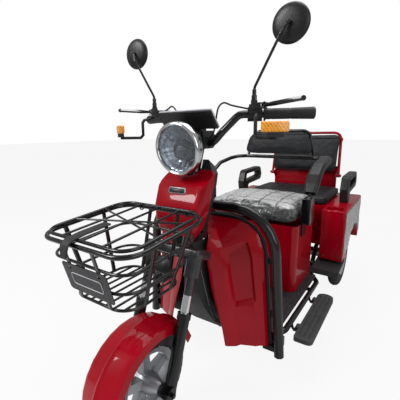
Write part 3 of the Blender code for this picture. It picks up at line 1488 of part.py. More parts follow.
def arm_pad(side):
    """Broad padded cover that follows the rail from its front end round the rear corner."""
    path = resample(arm_rail(side, 5), 36)
    start = next(i for i, p in enumerate(path) if p.z > PAD_START)
    end = next(i for i, p in enumerate(path) if abs(p.x) < HOOP_X - 0.042)
    picked = path[start:end:2]
    half = PAD_WIDTH / 2
    section = [(half, -0.008), (half, 0.012), (half * 0.70, 0.022), (-half * 0.70, 0.022),
               (-half, 0.012), (-half, -0.008), (-half * 0.6, -0.018), (half * 0.6, -0.018)]
    rings = []
    for index, point in enumerate(picked):
        before = picked[max(index - 1, 0)]
        after = picked[min(index + 1, len(picked) - 1)]
        along = (after - before).normalized()
        level = Vector((-along.y, along.x, 0.0)) * side
        across = level.normalized()
        over = along.cross(across).normalized()
        if over.z < 0:
            over = -over
        scale = 0.84 if index in (0, len(picked) - 1) else 1.0
        rings.append([point + across * (a * scale) + over * (b * scale) for a, b in section])
    return cut(loft(rings), [tube(hoop_run(), HOOP_RADIUS + 2 * PIVOT_GAP, detail=1)])


def cushion(low, high, crown, corner, pinch, channels=0, columns=14, rows=8, taper=0.0):
    """Crowned closed pad: local X and Y are its face, Z its thickness; channels are sewn lines."""
    width, depth, _ = (high[i] - low[i] for i in range(3))
    middle = [(high[i] + low[i]) / 2 for i in range(3)]

    def place(u, v):
        x = u * width / 2
        y = v * depth / 2
        over_x = max(0.0, abs(x) - (width / 2 - corner))
        over_y = max(0.0, abs(y) - (depth / 2 - corner))
        reach = math.hypot(over_x, over_y)
        if over_x > 0 and over_y > 0 and reach > 0:
            scale = max(over_x, over_y) / reach
            x = math.copysign(width / 2 - corner + over_x * scale, x)
            y = math.copysign(depth / 2 - corner + over_y * scale, y)
        return x * (1.0 - taper * (v + 1.0) / 2.0), y

    def height(u, v):
        edge = ((1.0 - abs(u) ** 6) * (1.0 - abs(v) ** 6)) ** 0.5
        rise = crown * (1.0 - 0.55 * u * u) * (1.0 - 0.55 * v * v) * edge
        phase = (u + 1.0) / 2.0 * channels
        if channels and 0.4 < phase < channels - 0.4:
            rise -= 0.0055 * math.exp(-((phase - round(phase)) / 0.10) ** 2) * edge
        return rise

    shape = bmesh.new()
    top = []
    for j in range(rows + 1):
        line = []
        for i in range(columns + 1):
            u = ease(-1.0 + 2.0 * i / columns)
            v = ease(-1.0 + 2.0 * j / rows)
            x, y = place(u, v)
            seam = 0.004 if max(abs(u), abs(v)) > 0.999 else 0.0
            line.append(shape.verts.new((middle[0] + x, middle[1] + y,
                                         high[2] - crown - seam + height(u, v))))
        top.append(line)
    for j in range(rows):
        for i in range(columns):
            shape.faces.new((top[j][i], top[j][i + 1], top[j + 1][i + 1], top[j + 1][i]))
    ring = [top[j][0] for j in range(rows)] + [top[rows][i] for i in range(columns)]
    ring += [top[j][columns] for j in range(rows, 0, -1)]
    ring += [top[0][i] for i in range(columns, 0, -1)]
    belts = [ring]
    for grow, level in ((1.0, 0.5), (0.985, 1.0)):
        belt = []
        for corner_point in ring:
            x, y, z = corner_point.co
            flat = Vector((x - middle[0], y - middle[1], 0.0))
            shift = flat * grow
            if level < 1.0:
                shift = flat + flat.normalized() * pinch
            belt.append(shape.verts.new((middle[0] + shift.x, middle[1] + shift.y,
                                         z + (low[2] - z) * level)))
        belts.append(belt)
    for upper, lower in zip(belts, belts[1:]):
        for k in range(len(ring)):
            n = (k + 1) % len(ring)
            shape.faces.new((upper[k], lower[k], lower[n], upper[n]))
    shape.faces.new(belts[-1])
    return from_bmesh("cushion", shape)


def ease(value):
    """Spread grid lines a little toward the edges."""
    return math.sin(value * math.pi / 2) * 0.35 + value * 0.65


def driver_seat():
    """Quilted driver's cushion on a thin pan."""
    foot = BOX_TOP + SEAT_GAP
    pad = cushion((-SEAT_HALF, SEAT_FRONT, foot + SEAT_PAN - 0.001),
                  (SEAT_HALF, SEAT_REAR, foot + SEAT_PAN + SEAT_THICK), 0.022, 0.055, 0.004,
                  channels=5, columns=15, rows=7)
    inset = 0.006
    corners = [(SEAT_HALF - inset, SEAT_FRONT + inset), (SEAT_HALF - inset, SEAT_REAR - inset),
               (inset - SEAT_HALF, SEAT_REAR - inset), (inset - SEAT_HALF, SEAT_FRONT + inset)]
    outline = flat_path(corners, 0.050, 4)
    pan = prism([outline], SEAT_PAN, Matrix.Translation((0, 0, foot + SEAT_PAN / 2)))
    return union([pan, pad])


def driver_back():
    """Padded back in the hoop, facing forward."""
    low = HOOP_Z + HOOP_RADIUS + 0.004
    high = BACK_HOOP_TOP - 2 * BACK_HOOP_RADIUS + 0.004
    half = BACK_HOOP_HALF + 0.004
    pad = cushion((-half, 0.0, 0.0), (half, high - low, 0.046), 0.010, 0.040, 0.002,
                  columns=10, rows=6, taper=BACK_HOOP_NARROW / half)
    lean = math.atan2(BACK_HOOP_LEAN, BACK_HOOP_TOP - HOOP_Z)
    face = Matrix(((1, 0, 0), (0, 0, -1), (0, 1, 0))).to_4x4()
    hoop_face = BACK_HOOP_RADIUS / math.cos(lean) + SEAT_GAP * 2
    rest = Vector((0.0, HOOP_Y - hoop_face + math.tan(lean) * (low - HOOP_Z), low))
    pad.data.transform(Matrix.Translation(rest) @ Matrix.Rotation(-lean, 4, 'X') @ face)
    return pad


# Rear bench and boxes

def rear_body():
    """Folded red sheet: riser and seat deck, with a panel behind that carries the hinge ears."""
    w = BENCH_WALL
    foot = CHASSIS_Z + RAIL_RADIUS + 0.006
    deck = [(BENCH_FRONT, foot), (BENCH_FRONT + w, foot), (BENCH_FRONT + w, BENCH_TOP - w),
            (BENCH_BACK + w, BENCH_TOP - w), (BENCH_BACK + w, BENCH_TOP), (BENCH_FRONT, BENCH_TOP)]
    parts = [prism([deck], 2 * (SIDE_IN - SEAT_GAP), side_plane(0.0)),
             box((-BENCH_HALF, BENCH_BACK, CHASSIS_Z + 0.030), (BENCH_HALF, BENCH_BACK + w, PANEL_TOP))]
    pin = Vector((0.0, BACKREST_PIVOT_Y, BACKREST_PIVOT_Z))
    for _, side in SIDES:
        inner = (BENCH_HALF - 0.0035) * side
        ear = [(BENCH_BACK + 0.001, pin.z - 0.040), (pin.y - 0.008, pin.z - 0.010),
               (pin.y - 0.008, pin.z + 0.008), (BENCH_BACK + 0.001, pin.z + 0.024)]
        parts.append(prism([ear], 0.0055, side_plane(inner)))
        parts.append(rod((inner, pin.y, pin.z), ((BACKREST_HALF + 0.014) * side, pin.y, pin.z),
                         0.0040, 10))
        parts.append(rod(((BACKREST_HALF + 0.0115) * side, pin.y, pin.z),
                         ((BACKREST_HALF + 0.018) * side, pin.y, pin.z), 0.0080, 10))
    return union(parts)


def side_box(side):
    """Red side box over the rear wheel: arched below, with a pocket let into its top."""
    arch = TYRE_RADIUS + ARCH_CLEARANCE
    lift = SIDE_FOOT - TYRE_RADIUS
    reach = math.sqrt(arch ** 2 - lift ** 2)
    start = math.atan2(lift, reach)
    steps = 10
    curve = []
    for index in range(steps + 1):
        turn = start + (math.pi - 2 * start) * index / steps
        curve.append((REAR_AXLE_Y + arch * math.cos(turn), TYRE_RADIUS + arch * math.sin(turn)))
    outline = [(SIDE_FRONT, SIDE_FOOT), (SIDE_FRONT, SIDE_TOP), (SIDE_REAR, SIDE_TOP),
               (SIDE_REAR, SIDE_FOOT)] + curve
    middle = (SIDE_IN + SIDE_OUT) / 2 * side
    body = bevel(prism([outline], SIDE_OUT - SIDE_IN, side_plane(middle)), 0.005, 1, 60.0)
    low, high = (SIDE_IN + 0.018) * side, (SIDE_OUT - 0.020) * side
    pocket = box((min(low, high), SIDE_FRONT + 0.016, SIDE_TOP - POCKET_DEPTH),
                 (max(low, high), SIDE_FRONT + 0.086, SIDE_TOP + 0.02), 0.010, 1)
    return cut(body, [pocket])


def rear_armrest(side):
    """Moulded armrest with a slanted front and a long slot, standing on the side box."""
    foot = SIDE_TOP + SEAT_GAP
    front, rear = 0.552, SIDE_REAR - 0.004
    outer = flat_path([(front + 0.014, foot), (front, 0.604), (front + 0.030, 0.676),
                       (rear - 0.022, 0.684), (rear, 0.620), (rear - 0.020, 0.590),
                       (front + 0.080, 0.580), (front + 0.066, foot)],
                      [0.002, 0.020, 0.026, 0.028, 0.020, 0.016, 0.012, 0.002], 2)
    slot = flat_path([(front + 0.038, 0.604), (front + 0.052, 0.652), (rear - 0.046, 0.656),
                      (rear - 0.034, 0.622)], [0.010, 0.010, 0.010, 0.010], 2)
    body = prism([outer, slot], ARMREST_WIDTH, side_plane(ARMREST_X * side))
    return body


ARMREST_X = 0.318
ARMREST_WIDTH = 0.044


def rear_step(side):
    """Curved plastic step ahead of the rear wheel, tucked under the side box."""
    near, far = BOX_HALF + 0.006, SIDE_OUT
    rest = SIDE_FOOT - SEAT_GAP
    top = [(0.252, 0.216), (0.262, 0.238), (0.290, 0.2465), (0.340, 0.250), (0.385, 0.256),
           (0.412, rest)]
    low = [(0.420, rest), (0.416, 0.242), (0.380, 0.238), (0.335, 0.234), (0.292, 0.2310),
           (0.274, 0.224), (0.264, 0.208)]
    return prism([top + low], far - near, side_plane((near + far) / 2 * side))


def bench_cushion():
    """Rear bench cushion."""
    low = BENCH_TOP + SEAT_GAP
    half = SIDE_IN - 0.008
    return cushion((-half, BENCH_FRONT + 0.002, low), (half, BENCH_BACK - 0.028,
                   low + BENCH_SEAT_THICK), 0.012, 0.035, 0.002, columns=12, rows=7)


def backrest_frame():
    """Red tube hoop that folds forward on two eyes."""
    lean = Vector((0.0, math.sin(BACKREST_LEAN), math.cos(BACKREST_LEAN)))
    face = Vector((0.0, math.cos(BACKREST_LEAN), -math.sin(BACKREST_LEAN)))
    tilt = Matrix.Rotation(-BACKREST_LEAN, 4, 'X')
    pins = [Vector((x, BACKREST_PIVOT_Y, BACKREST_PIVOT_Z)) for x in (BACKREST_HALF, -BACKREST_HALF)]
    tops = [pin + lean * BACKREST_HEIGHT - SIDEWAYS * math.copysign(BACKREST_NARROW, pin.x)
            for pin in pins]
    path = rounded([pins[0] + lean * 0.004, tops[0], tops[1], pins[1] + lean * 0.004], 0.045, 4)
    parts = [tube(path, BACKREST_RADIUS, detail=1)]
    for pin in pins:
        parts.append(rod(pin - SIDEWAYS * 0.0085, pin + SIDEWAYS * 0.0105, 0.0125, 10))
    for level in (BACKREST_BAR_LOW, BACKREST_HEIGHT * 0.84):
        half = BACKREST_HALF - BACKREST_NARROW * level / BACKREST_HEIGHT
        start = Vector((0, BACKREST_PIVOT_Y, BACKREST_PIVOT_Z)) + lean * level - face * 0.0050
        parts.append(block_at(start, (2 * half, 0.0090, 0.020), tilt))
    holes = [rod(pin - SIDEWAYS * 0.03, pin + SIDEWAYS * 0.03, 0.0040 + PIVOT_GAP, 10)
             for pin in pins]
    return cut(union(parts), holes)


def backrest_cushion():
    """Flat padded back on the folding hoop's bars, facing forward."""
    half = BACKREST_HALF - 0.015
    low, high = BACKREST_BAR_LOW - 0.012, BACKREST_HEIGHT - BACKREST_RADIUS - 0.006
    pad = cushion((-half, low, 0.0), (half, high, 0.036), 0.006, 0.030, 0.002, columns=10, rows=6,
                  taper=BACKREST_NARROW / half)
    turn = Matrix(((1, 0, 0), (0, 0, -1), (0, 1, 0))).to_4x4()
    lean = Matrix.Rotation(-BACKREST_LEAN, 4, 'X')
    pin = Vector((0.0, BACKREST_PIVOT_Y, BACKREST_PIVOT_Z))
    shift = Matrix.Translation((0.0, -0.0095 - SEAT_GAP, 0.0))
    pad.data.transform(Matrix.Translation(pin) @ lean @ shift @ turn)
    return pad


def rear_axle():
    """Axle tube with the motor and differential in the middle, drum plates and stub axles."""
    z = TYRE_RADIUS
    end = REAR_TRACK_HALF - TYRE_WIDTH / 2 * 0.80 - 0.006
    middle = Matrix.Translation((0.030, REAR_AXLE_Y, z)) @ frame_of(SIDEWAYS)
    case = turned([(0.0, 0.062), (0.050, 0.058), (0.078, 0.020), (0.078, -0.020), (0.050, -0.058),
                   (0.0, -0.062)], middle, 12)
    parts = [rod((-end, REAR_AXLE_Y, z), (end, REAR_AXLE_Y, z), REAR_AXLE_RADIUS, 12), case,
             rod((-0.020, REAR_AXLE_Y - 0.062, z + 0.004), (-0.185, REAR_AXLE_Y - 0.062, z + 0.004),
                 0.058, 12)]
    for _, side in SIDES:
        parts.append(rod((end * side, REAR_AXLE_Y, z), ((end - 0.012) * side, REAR_AXLE_Y, z),
                         0.080, 14))
        parts.append(rod(((end - 0.010) * side, REAR_AXLE_Y, z),
                         ((REAR_TRACK_HALF + 0.0195) * side, REAR_AXLE_Y, z),
                         AXLE_RADIUS + 0.003, 12))
    return union(parts)


def tail_lamp():
    """Red lamp bar across the tail panel."""
    y = BENCH_BACK + BENCH_WALL + SEAT_GAP
    return box((-0.170, y, 0.450), (0.170, y + 0.020, 0.496), 0.006, 1)


def running_board(side):
    """Folding foot plate with a round rear end, ribs on top and two pivot eyes."""
    near = BOARD_PIVOT_X + 0.006
    far = near + BOARD_WIDTH
    corners = [(near, BOARD_FRONT), (far, BOARD_FRONT), (far, BOARD_REAR), (near, BOARD_REAR)]
    outline = [(a * side, b) for a, b in
               flat_path(corners, [0.010, 0.020, 0.032, 0.030], 4)]
    plate = prism([outline], BOARD_THICK, Matrix.Translation((0, 0, BOARD_PIVOT_Z)))
    gone = []
    for index in range(3):
        x = near + BOARD_WIDTH * (index + 0.8) / 3.6
        low, high = sorted(((x - 0.0035) * side, (x + 0.0035) * side))
        gone.append(box((low, BOARD_FRONT + 0.016, BOARD_PIVOT_Z + BOARD_THICK / 2 - 0.003),
                        (high, BOARD_REAR - 0.030, BOARD_PIVOT_Z + 0.03)))
    eyes = []
    holes = []
    for y in board_lugs():
        start = Vector((BOARD_PIVOT_X * side, y + 0.004 + RUN_GAP / 4, BOARD_PIVOT_Z))
        end = start + Vector((0.0, 0.030, 0.0))
        eyes.append(rod(start, end, 0.0090, 12))
        low, high = sorted((BOARD_PIVOT_X * side, (near + 0.006) * side))
        eyes.append(box((low, start.y, BOARD_PIVOT_Z - 0.0085), (high, end.y, BOARD_PIVOT_Z + 0.0065)))
        holes.append(rod(start - Vector((0, 0.02, 0)), end + Vector((0, 0.02, 0)),
                         BOARD_PIN_RADIUS + PIVOT_GAP, 10))
    return cut(union([plate] + eyes), gone + holes)


def pivot_empty(name, place):
    """An empty on a joint's axis, to parent what turns or slides there."""
    item = bpy.data.objects.new(name, None)
    item.empty_display_size = 0.03
    group("electric_tricycle").objects.link(item)
    item.location = place
    return item


def parent_to(item, empty):
    """Hang a settled object on an empty without moving it."""
    item.data.transform(Matrix.Translation(-empty.location))
    item.parent = empty


def hang(items, empty):
    for item in items:
        parent_to(item, empty)


def build():
    clear_scene()
    finish(main_frame(), "main_frame", black_paint())
    finish(rear_axle(), "rear_axle_housing", steel())
    finish(floor_deck(), "floor_deck", grey_rubber())
    finish(head_cover(), "head_cover", red_paint())
    finish(inner_shield(), "inner_shield", black_plastic())
    finish(leg_shield(), "leg_shield", red_paint())
    finish(crash_bar(), "crash_bar", black_paint())
    finish(seat_box(), "seat_box", red_paint())
    finish(battery_pack(), "battery_pack", black_plastic())
    finish(arm_hoop(), "arm_hoop", black_paint())
    finish(arm_pad(1), "arm_pad", grey_rubber())
    finish(driver_back(), "driver_back_cushion", black_vinyl())
    finish(rear_body(), "rear_body", red_paint())
    finish(bench_cushion(), "rear_seat_cushion", black_vinyl())
    finish(tail_lamp(), "tail_lamp", material("red_lens", (0.7, 0.02, 0.02), 0.15))

    steering = pivot_empty("steering_axis", on_axis(0.0))
    fork_slide = pivot_empty("fork_slide", on_axis(0.0, LEG_OFFSET))
    front_hub = pivot_empty("front_hub", on_axis(axle_along(), AXLE_OFFSET))
    hang([finish(fork_crown(), "fork_crown", black_paint()),
          finish(handlebar(), "handlebar", black_paint()),
          finish(dash_display(), "dash_display", black_plastic()),
          finish(headlight_shell(), "headlight_shell", black_plastic()),
          finish(headlight_ring(), "headlight_ring", chrome()),
          finish(headlight_lens(), "headlight_lens", clear_glass()),
          finish(grip(1), "grip_left", grey_rubber()),
          finish(horn(), "horn", black_plastic()),
          finish(basket(), "basket", black_paint()),
          finish(number_plate(), "number_plate", grey_rubber())], steering)
    hang([finish(fork_lower(), "fork_lower", black_paint()),
          finish(front_fender(), "front_fender", red_paint())], fork_slide)
    hang([finish(tyre(front_hub.location), "front_tyre", grey_rubber()),
          finish(front_rim(), "front_rim", steel())], front_hub)
    hang([finish(grip(-1), "throttle_grip", grey_rubber())],
         pivot_empty("throttle_axis", mirror_x(GRIP_IN, -1)))
    hinge = Vector((0.0, BASKET_BACK, BASKET_TOP_BACK))
    hang([finish(basket_lid(), "basket_lid", black_paint())], pivot_empty("lid_hinge", hinge))
    hang([finish(lid_strap(), "lid_strap", grey_rubber())], pivot_empty("strap_hinge", strap_hinge()))
    hang([finish(driver_seat(), "driver_seat_cushion", black_vinyl())],
         pivot_empty("seat_hinge", Vector((0.0, SEAT_FRONT - 0.0032, BOX_TOP + SEAT_GAP))))
    fold = pivot_empty("backrest_hinge", Vector((0.0, BACKREST_PIVOT_Y, BACKREST_PIVOT_Z)))
    hang([finish(backrest_frame(), "rear_backrest_frame", red_paint()),
          finish(backrest_cushion(), "rear_backrest_cushion", black_vinyl())], fold)

    for word, side in SIDES:
        finish(side_box(side), "side_box_" + word, red_paint())
        finish(rear_armrest(side), "rear_armrest_" + word, black_plastic())
        finish(rear_step(side), "rear_step_" + word, grey_rubber())
        hang([finish(pod(side), "switch_pod_" + word, black_plastic()),
              finish(signal_lens(side), "signal_lens_" + word, amber()),
              finish(tube(cable_points(side), CABLE_RADIUS, detail=1), "brake_cable_" + word,
                     black_plastic())], steering)
        hang([finish(brake_lever(side), "brake_lever_" + word, black_paint())],
             pivot_empty("lever_pivot_" + word, lever_pivot(side)))
        hang([finish(mirror_stem(side), "mirror_stem_" + word, black_paint())],
             pivot_empty("mirror_swivel_" + word, mirror_x(MIRROR_BASE, side)))
        hang([finish(mirror_head(side), "mirror_head_" + word, black_plastic())],
             pivot_empty("mirror_ball_" + word, mirror_ball(side)))
        hub = Vector((REAR_TRACK_HALF * side, REAR_AXLE_Y, TYRE_RADIUS))
        hang([finish(tyre(hub), "rear_tyre_" + word, grey_rubber()),
              finish(rear_rim(side), "rear_rim_" + word, chrome())],
             pivot_empty("rear_hub_" + word, hub))
        hang([finish(running_board(side), "running_board_" + word, grey_rubber())],
             pivot_empty("board_hinge_" + word,
                         Vector((BOARD_PIVOT_X * side, 0.0, BOARD_PIVOT_Z))))


build()
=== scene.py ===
import json
from math import atan2, cos, exp, pi, radians, sin, tan

import bmesh
import bpy
from mathutils import Matrix, Vector, noise
from mathutils.bvhtree import BVHTree


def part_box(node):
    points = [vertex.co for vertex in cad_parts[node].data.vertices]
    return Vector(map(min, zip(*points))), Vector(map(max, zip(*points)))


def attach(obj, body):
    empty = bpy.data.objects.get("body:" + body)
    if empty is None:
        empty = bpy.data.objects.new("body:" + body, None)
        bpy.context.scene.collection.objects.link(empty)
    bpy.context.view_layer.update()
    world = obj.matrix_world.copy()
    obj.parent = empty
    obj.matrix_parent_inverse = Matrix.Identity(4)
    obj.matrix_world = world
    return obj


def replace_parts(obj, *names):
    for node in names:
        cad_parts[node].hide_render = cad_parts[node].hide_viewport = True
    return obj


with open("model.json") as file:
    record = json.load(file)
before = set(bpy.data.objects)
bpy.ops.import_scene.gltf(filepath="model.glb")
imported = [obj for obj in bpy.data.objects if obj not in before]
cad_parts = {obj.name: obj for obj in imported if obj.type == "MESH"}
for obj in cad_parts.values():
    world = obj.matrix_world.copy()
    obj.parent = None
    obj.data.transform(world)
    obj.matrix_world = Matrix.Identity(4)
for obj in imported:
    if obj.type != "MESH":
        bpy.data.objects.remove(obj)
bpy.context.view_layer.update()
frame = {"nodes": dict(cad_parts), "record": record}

NODES = frame["nodes"]
BODY_OF = {node: body for body, nodes in frame["record"]["behaviour"]["bodies"].items()
           for node in nodes}
SLOT_OF = {part["node"]: part["material_slot"] for part in frame["record"]["subparts"]}
SIDES = (("left", 1), ("right", -1))
X = Vector((1.0, 0.0, 0.0))
Y = Vector((0.0, 1.0, 0.0))
Z = Vector((0.0, 0.0, 1.0))

# Places and sizes that repeat the solids' own values, lengths in metres
RAKE = radians(21.0)
AXIS = Vector((0.0, sin(RAKE), cos(RAKE)))
CROWN = Vector((0.0, -0.556, 0.484))
FORK_HALF = 0.088
TYRE_RADIUS = 0.180
TYRE_WIDTH = 0.070
RIM_RADIUS = 0.112
LAMP_CENTRE = Vector((0.0, -0.529, 0.882))
LAMP_TILT = radians(6.0)
LAMP_RADIUS = 0.085
DASH_TOP = Vector((0.0, -0.482, 1.002))
DASH_TILT = radians(49.0)
DASH_WIDTH = 0.204
DASH_LENGTH = 0.068
MIRROR_HEAD = Vector((0.297, -0.384, 1.226))
MIRROR_RADIUS = 0.054
SIDE_OUT = 0.372


def placed(name, data):
    """New object in the scene that holds a block of data."""
    item = bpy.data.objects.new(name, data)
    bpy.context.scene.collection.objects.link(item)
    return item


# Camera, at the photograph's place

FRAME = 400.0    # side of the picture, in pixels
FOCAL = 313.6    # focal length, in pixels
SENSOR = 36.0    # sensor width, in millimetres


def camera():
    """Camera matched to the photograph: 34 degrees to the driver's left, 12 degrees down."""
    turn, drop, roll = radians(34.25), radians(12.4), radians(-0.8)
    ahead = Vector((-sin(turn) * cos(drop), cos(turn) * cos(drop),
                    -sin(drop)))
    right = ahead.cross(Z).normalized()
    up = right.cross(ahead)
    across = right * cos(roll) + up * sin(roll)
    over = up * cos(roll) - right * sin(roll)
    data = bpy.data.cameras.new("camera")
    data.sensor_width = SENSOR
    data.lens = FOCAL / FRAME * SENSOR
    data.clip_start = 0.01
    place = Matrix((across, over, -ahead)).transposed().to_4x4()
    place.translation = Vector((0.620, -1.312, 0.937))
    item = placed("camera", data)
    item.matrix_world = place
    bpy.context.scene.camera = item
    return place


CAMERA = camera()


def photo_line(px, py):
    """Start and direction of the line of sight through a pixel of the picture."""
    local = Vector(((px - FRAME / 2) / FOCAL, (FRAME / 2 - py) / FOCAL, -1.0))
    return CAMERA.translation.copy(), (CAMERA.to_3x3() @ local).normalized()


# Materials

class Look:
    """One procedural material, built node by node on a Principled shader."""

    def __init__(self, name, rounding=0.0, **values):
        self.material = bpy.data.materials.new(name)
        self.material.use_nodes = True
        self.tree = self.material.node_tree
        self.shader = self.tree.nodes["Principled BSDF"]
        self.normal = None
        for key, value in values.items():
            self.shader.inputs[key.replace("_", " ")].default_value = value
        self.place = self.add("TexCoord").outputs["Object"]
        if rounding:
            soft = self.add("Bevel", Radius=rounding)
            soft.samples = 4
            self.normal = soft.outputs[0]

    def feed(self, value, socket):
        """Link an output to a socket, or set the socket to a plain value."""
        if hasattr(value, "is_linked"):
            self.tree.links.new(value, socket)
        else:
            socket.default_value = value

    def add(self, kind, **values):
        node = self.tree.nodes.new("ShaderNode" + kind)
        for key, value in values.items():
            self.feed(value, node.inputs[key.replace("_", " ")])
        return node

    def link(self, value, key):
        self.tree.links.new(value, self.shader.inputs[key])

    def clouds(self, scale, detail=3.0, rough=0.5, twist=0.0):
        return self.add("TexNoise", Vector=self.place, Scale=scale, Detail=detail,
                        Roughness=rough, Distortion=twist).outputs[0]

    def cells(self, scale, feature="F1"):
        node = self.add("TexVoronoi", Vector=self.place, Scale=scale)
        node.feature = feature
        return node.outputs["Distance"]

    def waves(self, scale, direction="X"):
        node = self.add("TexWave", Vector=self.place, Scale=scale)
        node.bands_direction = direction
        return node.outputs["Fac"]

    def span(self, value, low, high, start=0.0, end=1.0):
        return self.add("MapRange", Value=value, From_Min=low, From_Max=high, To_Min=start,
                        To_Max=end).outputs[0]

    def sums(self, kind, *values):
        node = self.add("Math")
        node.operation = kind
        for value, socket in zip(values, node.inputs):
            self.feed(value, socket)
        return node.outputs[0]

    def along(self, direction, origin=(0.0, 0.0, 0.0)):
        """Distance along a direction from a point, in metres."""
        value = self.place
        for kind, other, output in (("SUBTRACT", origin, "Vector"),
                                    ("DOT_PRODUCT", direction, "Value")):
            node = self.add("VectorMath")
            node.operation = kind
            self.feed(value, node.inputs[0])
            self.feed(other, node.inputs[1])
            value = node.outputs[output]
        return value

    def colours(self, factor, a, b):
        node = self.add("Mix")
        node.data_type = "RGBA"
        for index, value in ((0, factor), (6, a), (7, b)):
            self.feed((*value, 1.0) if isinstance(value, tuple) else value, node.inputs[index])
        return node.outputs[2]

    def tint(self, value, a, b, low=0.3, high=0.7):
        """Base colour that goes from a to b as a value goes from low to high."""
        self.link(self.colours(self.span(value, low, high), a, b), "Base Color")

    def matt(self, value, start, end, low=0.3, high=0.7):
        """Roughness that goes from start to end as a value goes from low to high."""
        self.link(self.span(value, low, high, start, end), "Roughness")

    def bump(self, height, depth, strength):
        node = self.add("Bump", Height=height, Strength=strength, Distance=depth)
        if self.normal is not None:
            self.feed(self.normal, node.inputs["Normal"])
        self.normal = node.outputs[0]

    def done(self):
        if self.normal is not None:
            self.link(self.normal, "Normal")
        return self.material


def red_paint():
    look = Look("red_gloss", 0.0016, Coat_Weight=0.55, Coat_Roughness=0.03,
                Specular_IOR_Level=0.06, Coat_IOR=1.42)
    drift = look.clouds(3.2, 2.0)
    flake = look.clouds(1400.0, 1.0)
    deep = look.colours(look.span(drift, 0.35, 0.68), (0.270, 0.000, 0.006), (0.380, 0.001, 0.011))
    dust = look.span(look.clouds(36.0, 6.0, 0.7), 0.62, 0.80, 0.0, 0.06)
    look.link(look.colours(dust, deep, (0.55, 0.16, 0.15)), "Base Color")
    look.matt(flake, 0.24, 0.36)
    look.bump(look.clouds(210.0, 2.0), 0.00035, 0.16)
    return look.done()


def black_paint():
    look = Look("black_gloss", 0.0010, Coat_Weight=0.45, Coat_Roughness=0.08,
                Specular_IOR_Level=0.3)
    look.tint(look.clouds(9.0, 4.0), (0.0024, 0.0026, 0.0032), (0.0060, 0.0064, 0.0076))
    look.matt(look.clouds(60.0, 6.0, 0.65), 0.15, 0.27, 0.3, 0.75)
    look.bump(look.clouds(420.0, 2.0), 0.0003, 0.14)
    return look.done()


def black_plastic(name="black_plastic", tone=0.009, rough=0.30):
    look = Look(name, 0.0012, Specular_IOR_Level=0.36)
    look.tint(look.clouds(14.0, 4.0), (tone * 0.8, tone * 0.82, tone * 0.88),
              (tone * 1.35, tone * 1.38, tone * 1.48))
    look.matt(look.clouds(90.0, 5.0, 0.6), rough, rough + 0.16)
    look.bump(look.cells(1300.0), 0.0004, 0.22)
    return look.done()


def grey_rubber(name="grey_rubber", tone=0.026):
    look = Look(name, 0.0008, Specular_IOR_Level=0.35)
    grime = look.clouds(22.0, 6.0, 0.65)
    look.tint(grime, (tone * 0.7, tone * 0.72, tone * 0.76), (tone * 1.3, tone * 1.3, tone * 1.34),
              0.3, 0.72)
    look.matt(grime, 0.56, 0.78)
    look.bump(look.clouds(700.0, 3.0), 0.0003, 0.3)
    return look.done()


def tyre_rubber():
    look = Look("tyre_rubber", Roughness=0.8)
    dust = look.clouds(30.0, 7.0, 0.7)
    look.tint(dust, (0.016, 0.016, 0.017), (0.060, 0.057, 0.052), 0.35, 0.75)
    look.matt(dust, 0.68, 0.9)
    look.bump(look.clouds(500.0, 4.0), 0.0005, 0.35)
    return look.done()


def chrome(name="chrome", tone=0.72, rough=0.08):
    look = Look(name, 0.0009, Metallic=1.0)
    smudge = look.clouds(24.0, 5.0, 0.6)
    look.tint(smudge, (tone, tone * 1.005, tone * 1.02), (tone * 0.84, tone * 0.85, tone * 0.87),
              0.35, 0.7)
    look.matt(smudge, rough, rough + 0.12, 0.3, 0.75)
    return look.done()


def alloy():
    look = Look("alloy", 0.0012, Metallic=0.9)
    cast = look.clouds(160.0, 5.0, 0.6)
    look.tint(look.clouds(12.0, 4.0), (0.36, 0.37, 0.39), (0.50, 0.51, 0.53))
    look.matt(cast, 0.30, 0.48)
    look.bump(cast, 0.0004, 0.25)
    return look.done()


def vinyl():
    look = Look("seat_vinyl", Specular_IOR_Level=0.34)
    pores = look.cells(620.0, "DISTANCE_TO_EDGE")
    crease = look.clouds(16.0, 6.0, 0.62, 0.6)
    look.tint(crease, (0.006, 0.0066, 0.008), (0.013, 0.014, 0.017), 0.35, 0.7)
    look.matt(look.clouds(70.0, 4.0), 0.40, 0.58)
    look.bump(look.span(pores, 0.0, 0.12), 0.0004, 0.35)
    look.bump(crease, 0.0020, 0.25)
    return look.done()


def film(name, haze, painted_highlight, way):
    """Thin clear wrapping with painted light on it: a painted sheen makes it hazy where it faces
    up or to the side, and painted highlights make it pale on its creases.
    """
    look = Look(name, Specular_IOR_Level=0.9, Coat_Weight=0.5, Coat_Roughness=0.06)
    broad = look.clouds(9.0, 5.0, 0.6, 1.0)
    crease = look.clouds(24.0, 7.0, 0.66, 1.6)
    fine = look.clouds(90.0, 3.0, 0.55, 0.6)
    painted_vein_highlight = look.span(look.cells(19.0, "DISTANCE_TO_EDGE"), 0.0, 0.06, 1.0, 0.0)
    split = look.add("SeparateXYZ", Vector=look.add("NewGeometry").outputs["Normal"])
    # painted sheen: the film grows opaque and pale where it faces up, or to the side, standing in
    # for light on that face; haze sets how strong it is
    flat = split.outputs[2] if way == "up" else look.sums("ABSOLUTE", split.outputs[0])
    flat = look.span(flat, 0.70, 0.99)
    body = look.sums("MULTIPLY", flat, look.span(broad, 0.25, 0.75, haze * 0.72, haze))
    # painted highlights: pale streaks on the creases and along the cell veins
    body = look.sums("ADD", body, look.span(crease, 0.50, 0.82, 0.0, painted_highlight))
    body = look.sums("ADD", body, look.sums("MULTIPLY", painted_vein_highlight, painted_highlight * 0.55))
    look.link(look.span(body, 0.0, 1.0, 0.05, 0.94), "Alpha")
    look.tint(broad, (0.47, 0.475, 0.48), (0.62, 0.62, 0.615))
    look.matt(fine, 0.12, 0.30)
    look.bump(crease, 0.005, 0.45)
    look.bump(fine, 0.001, 0.3)
    return look.done()


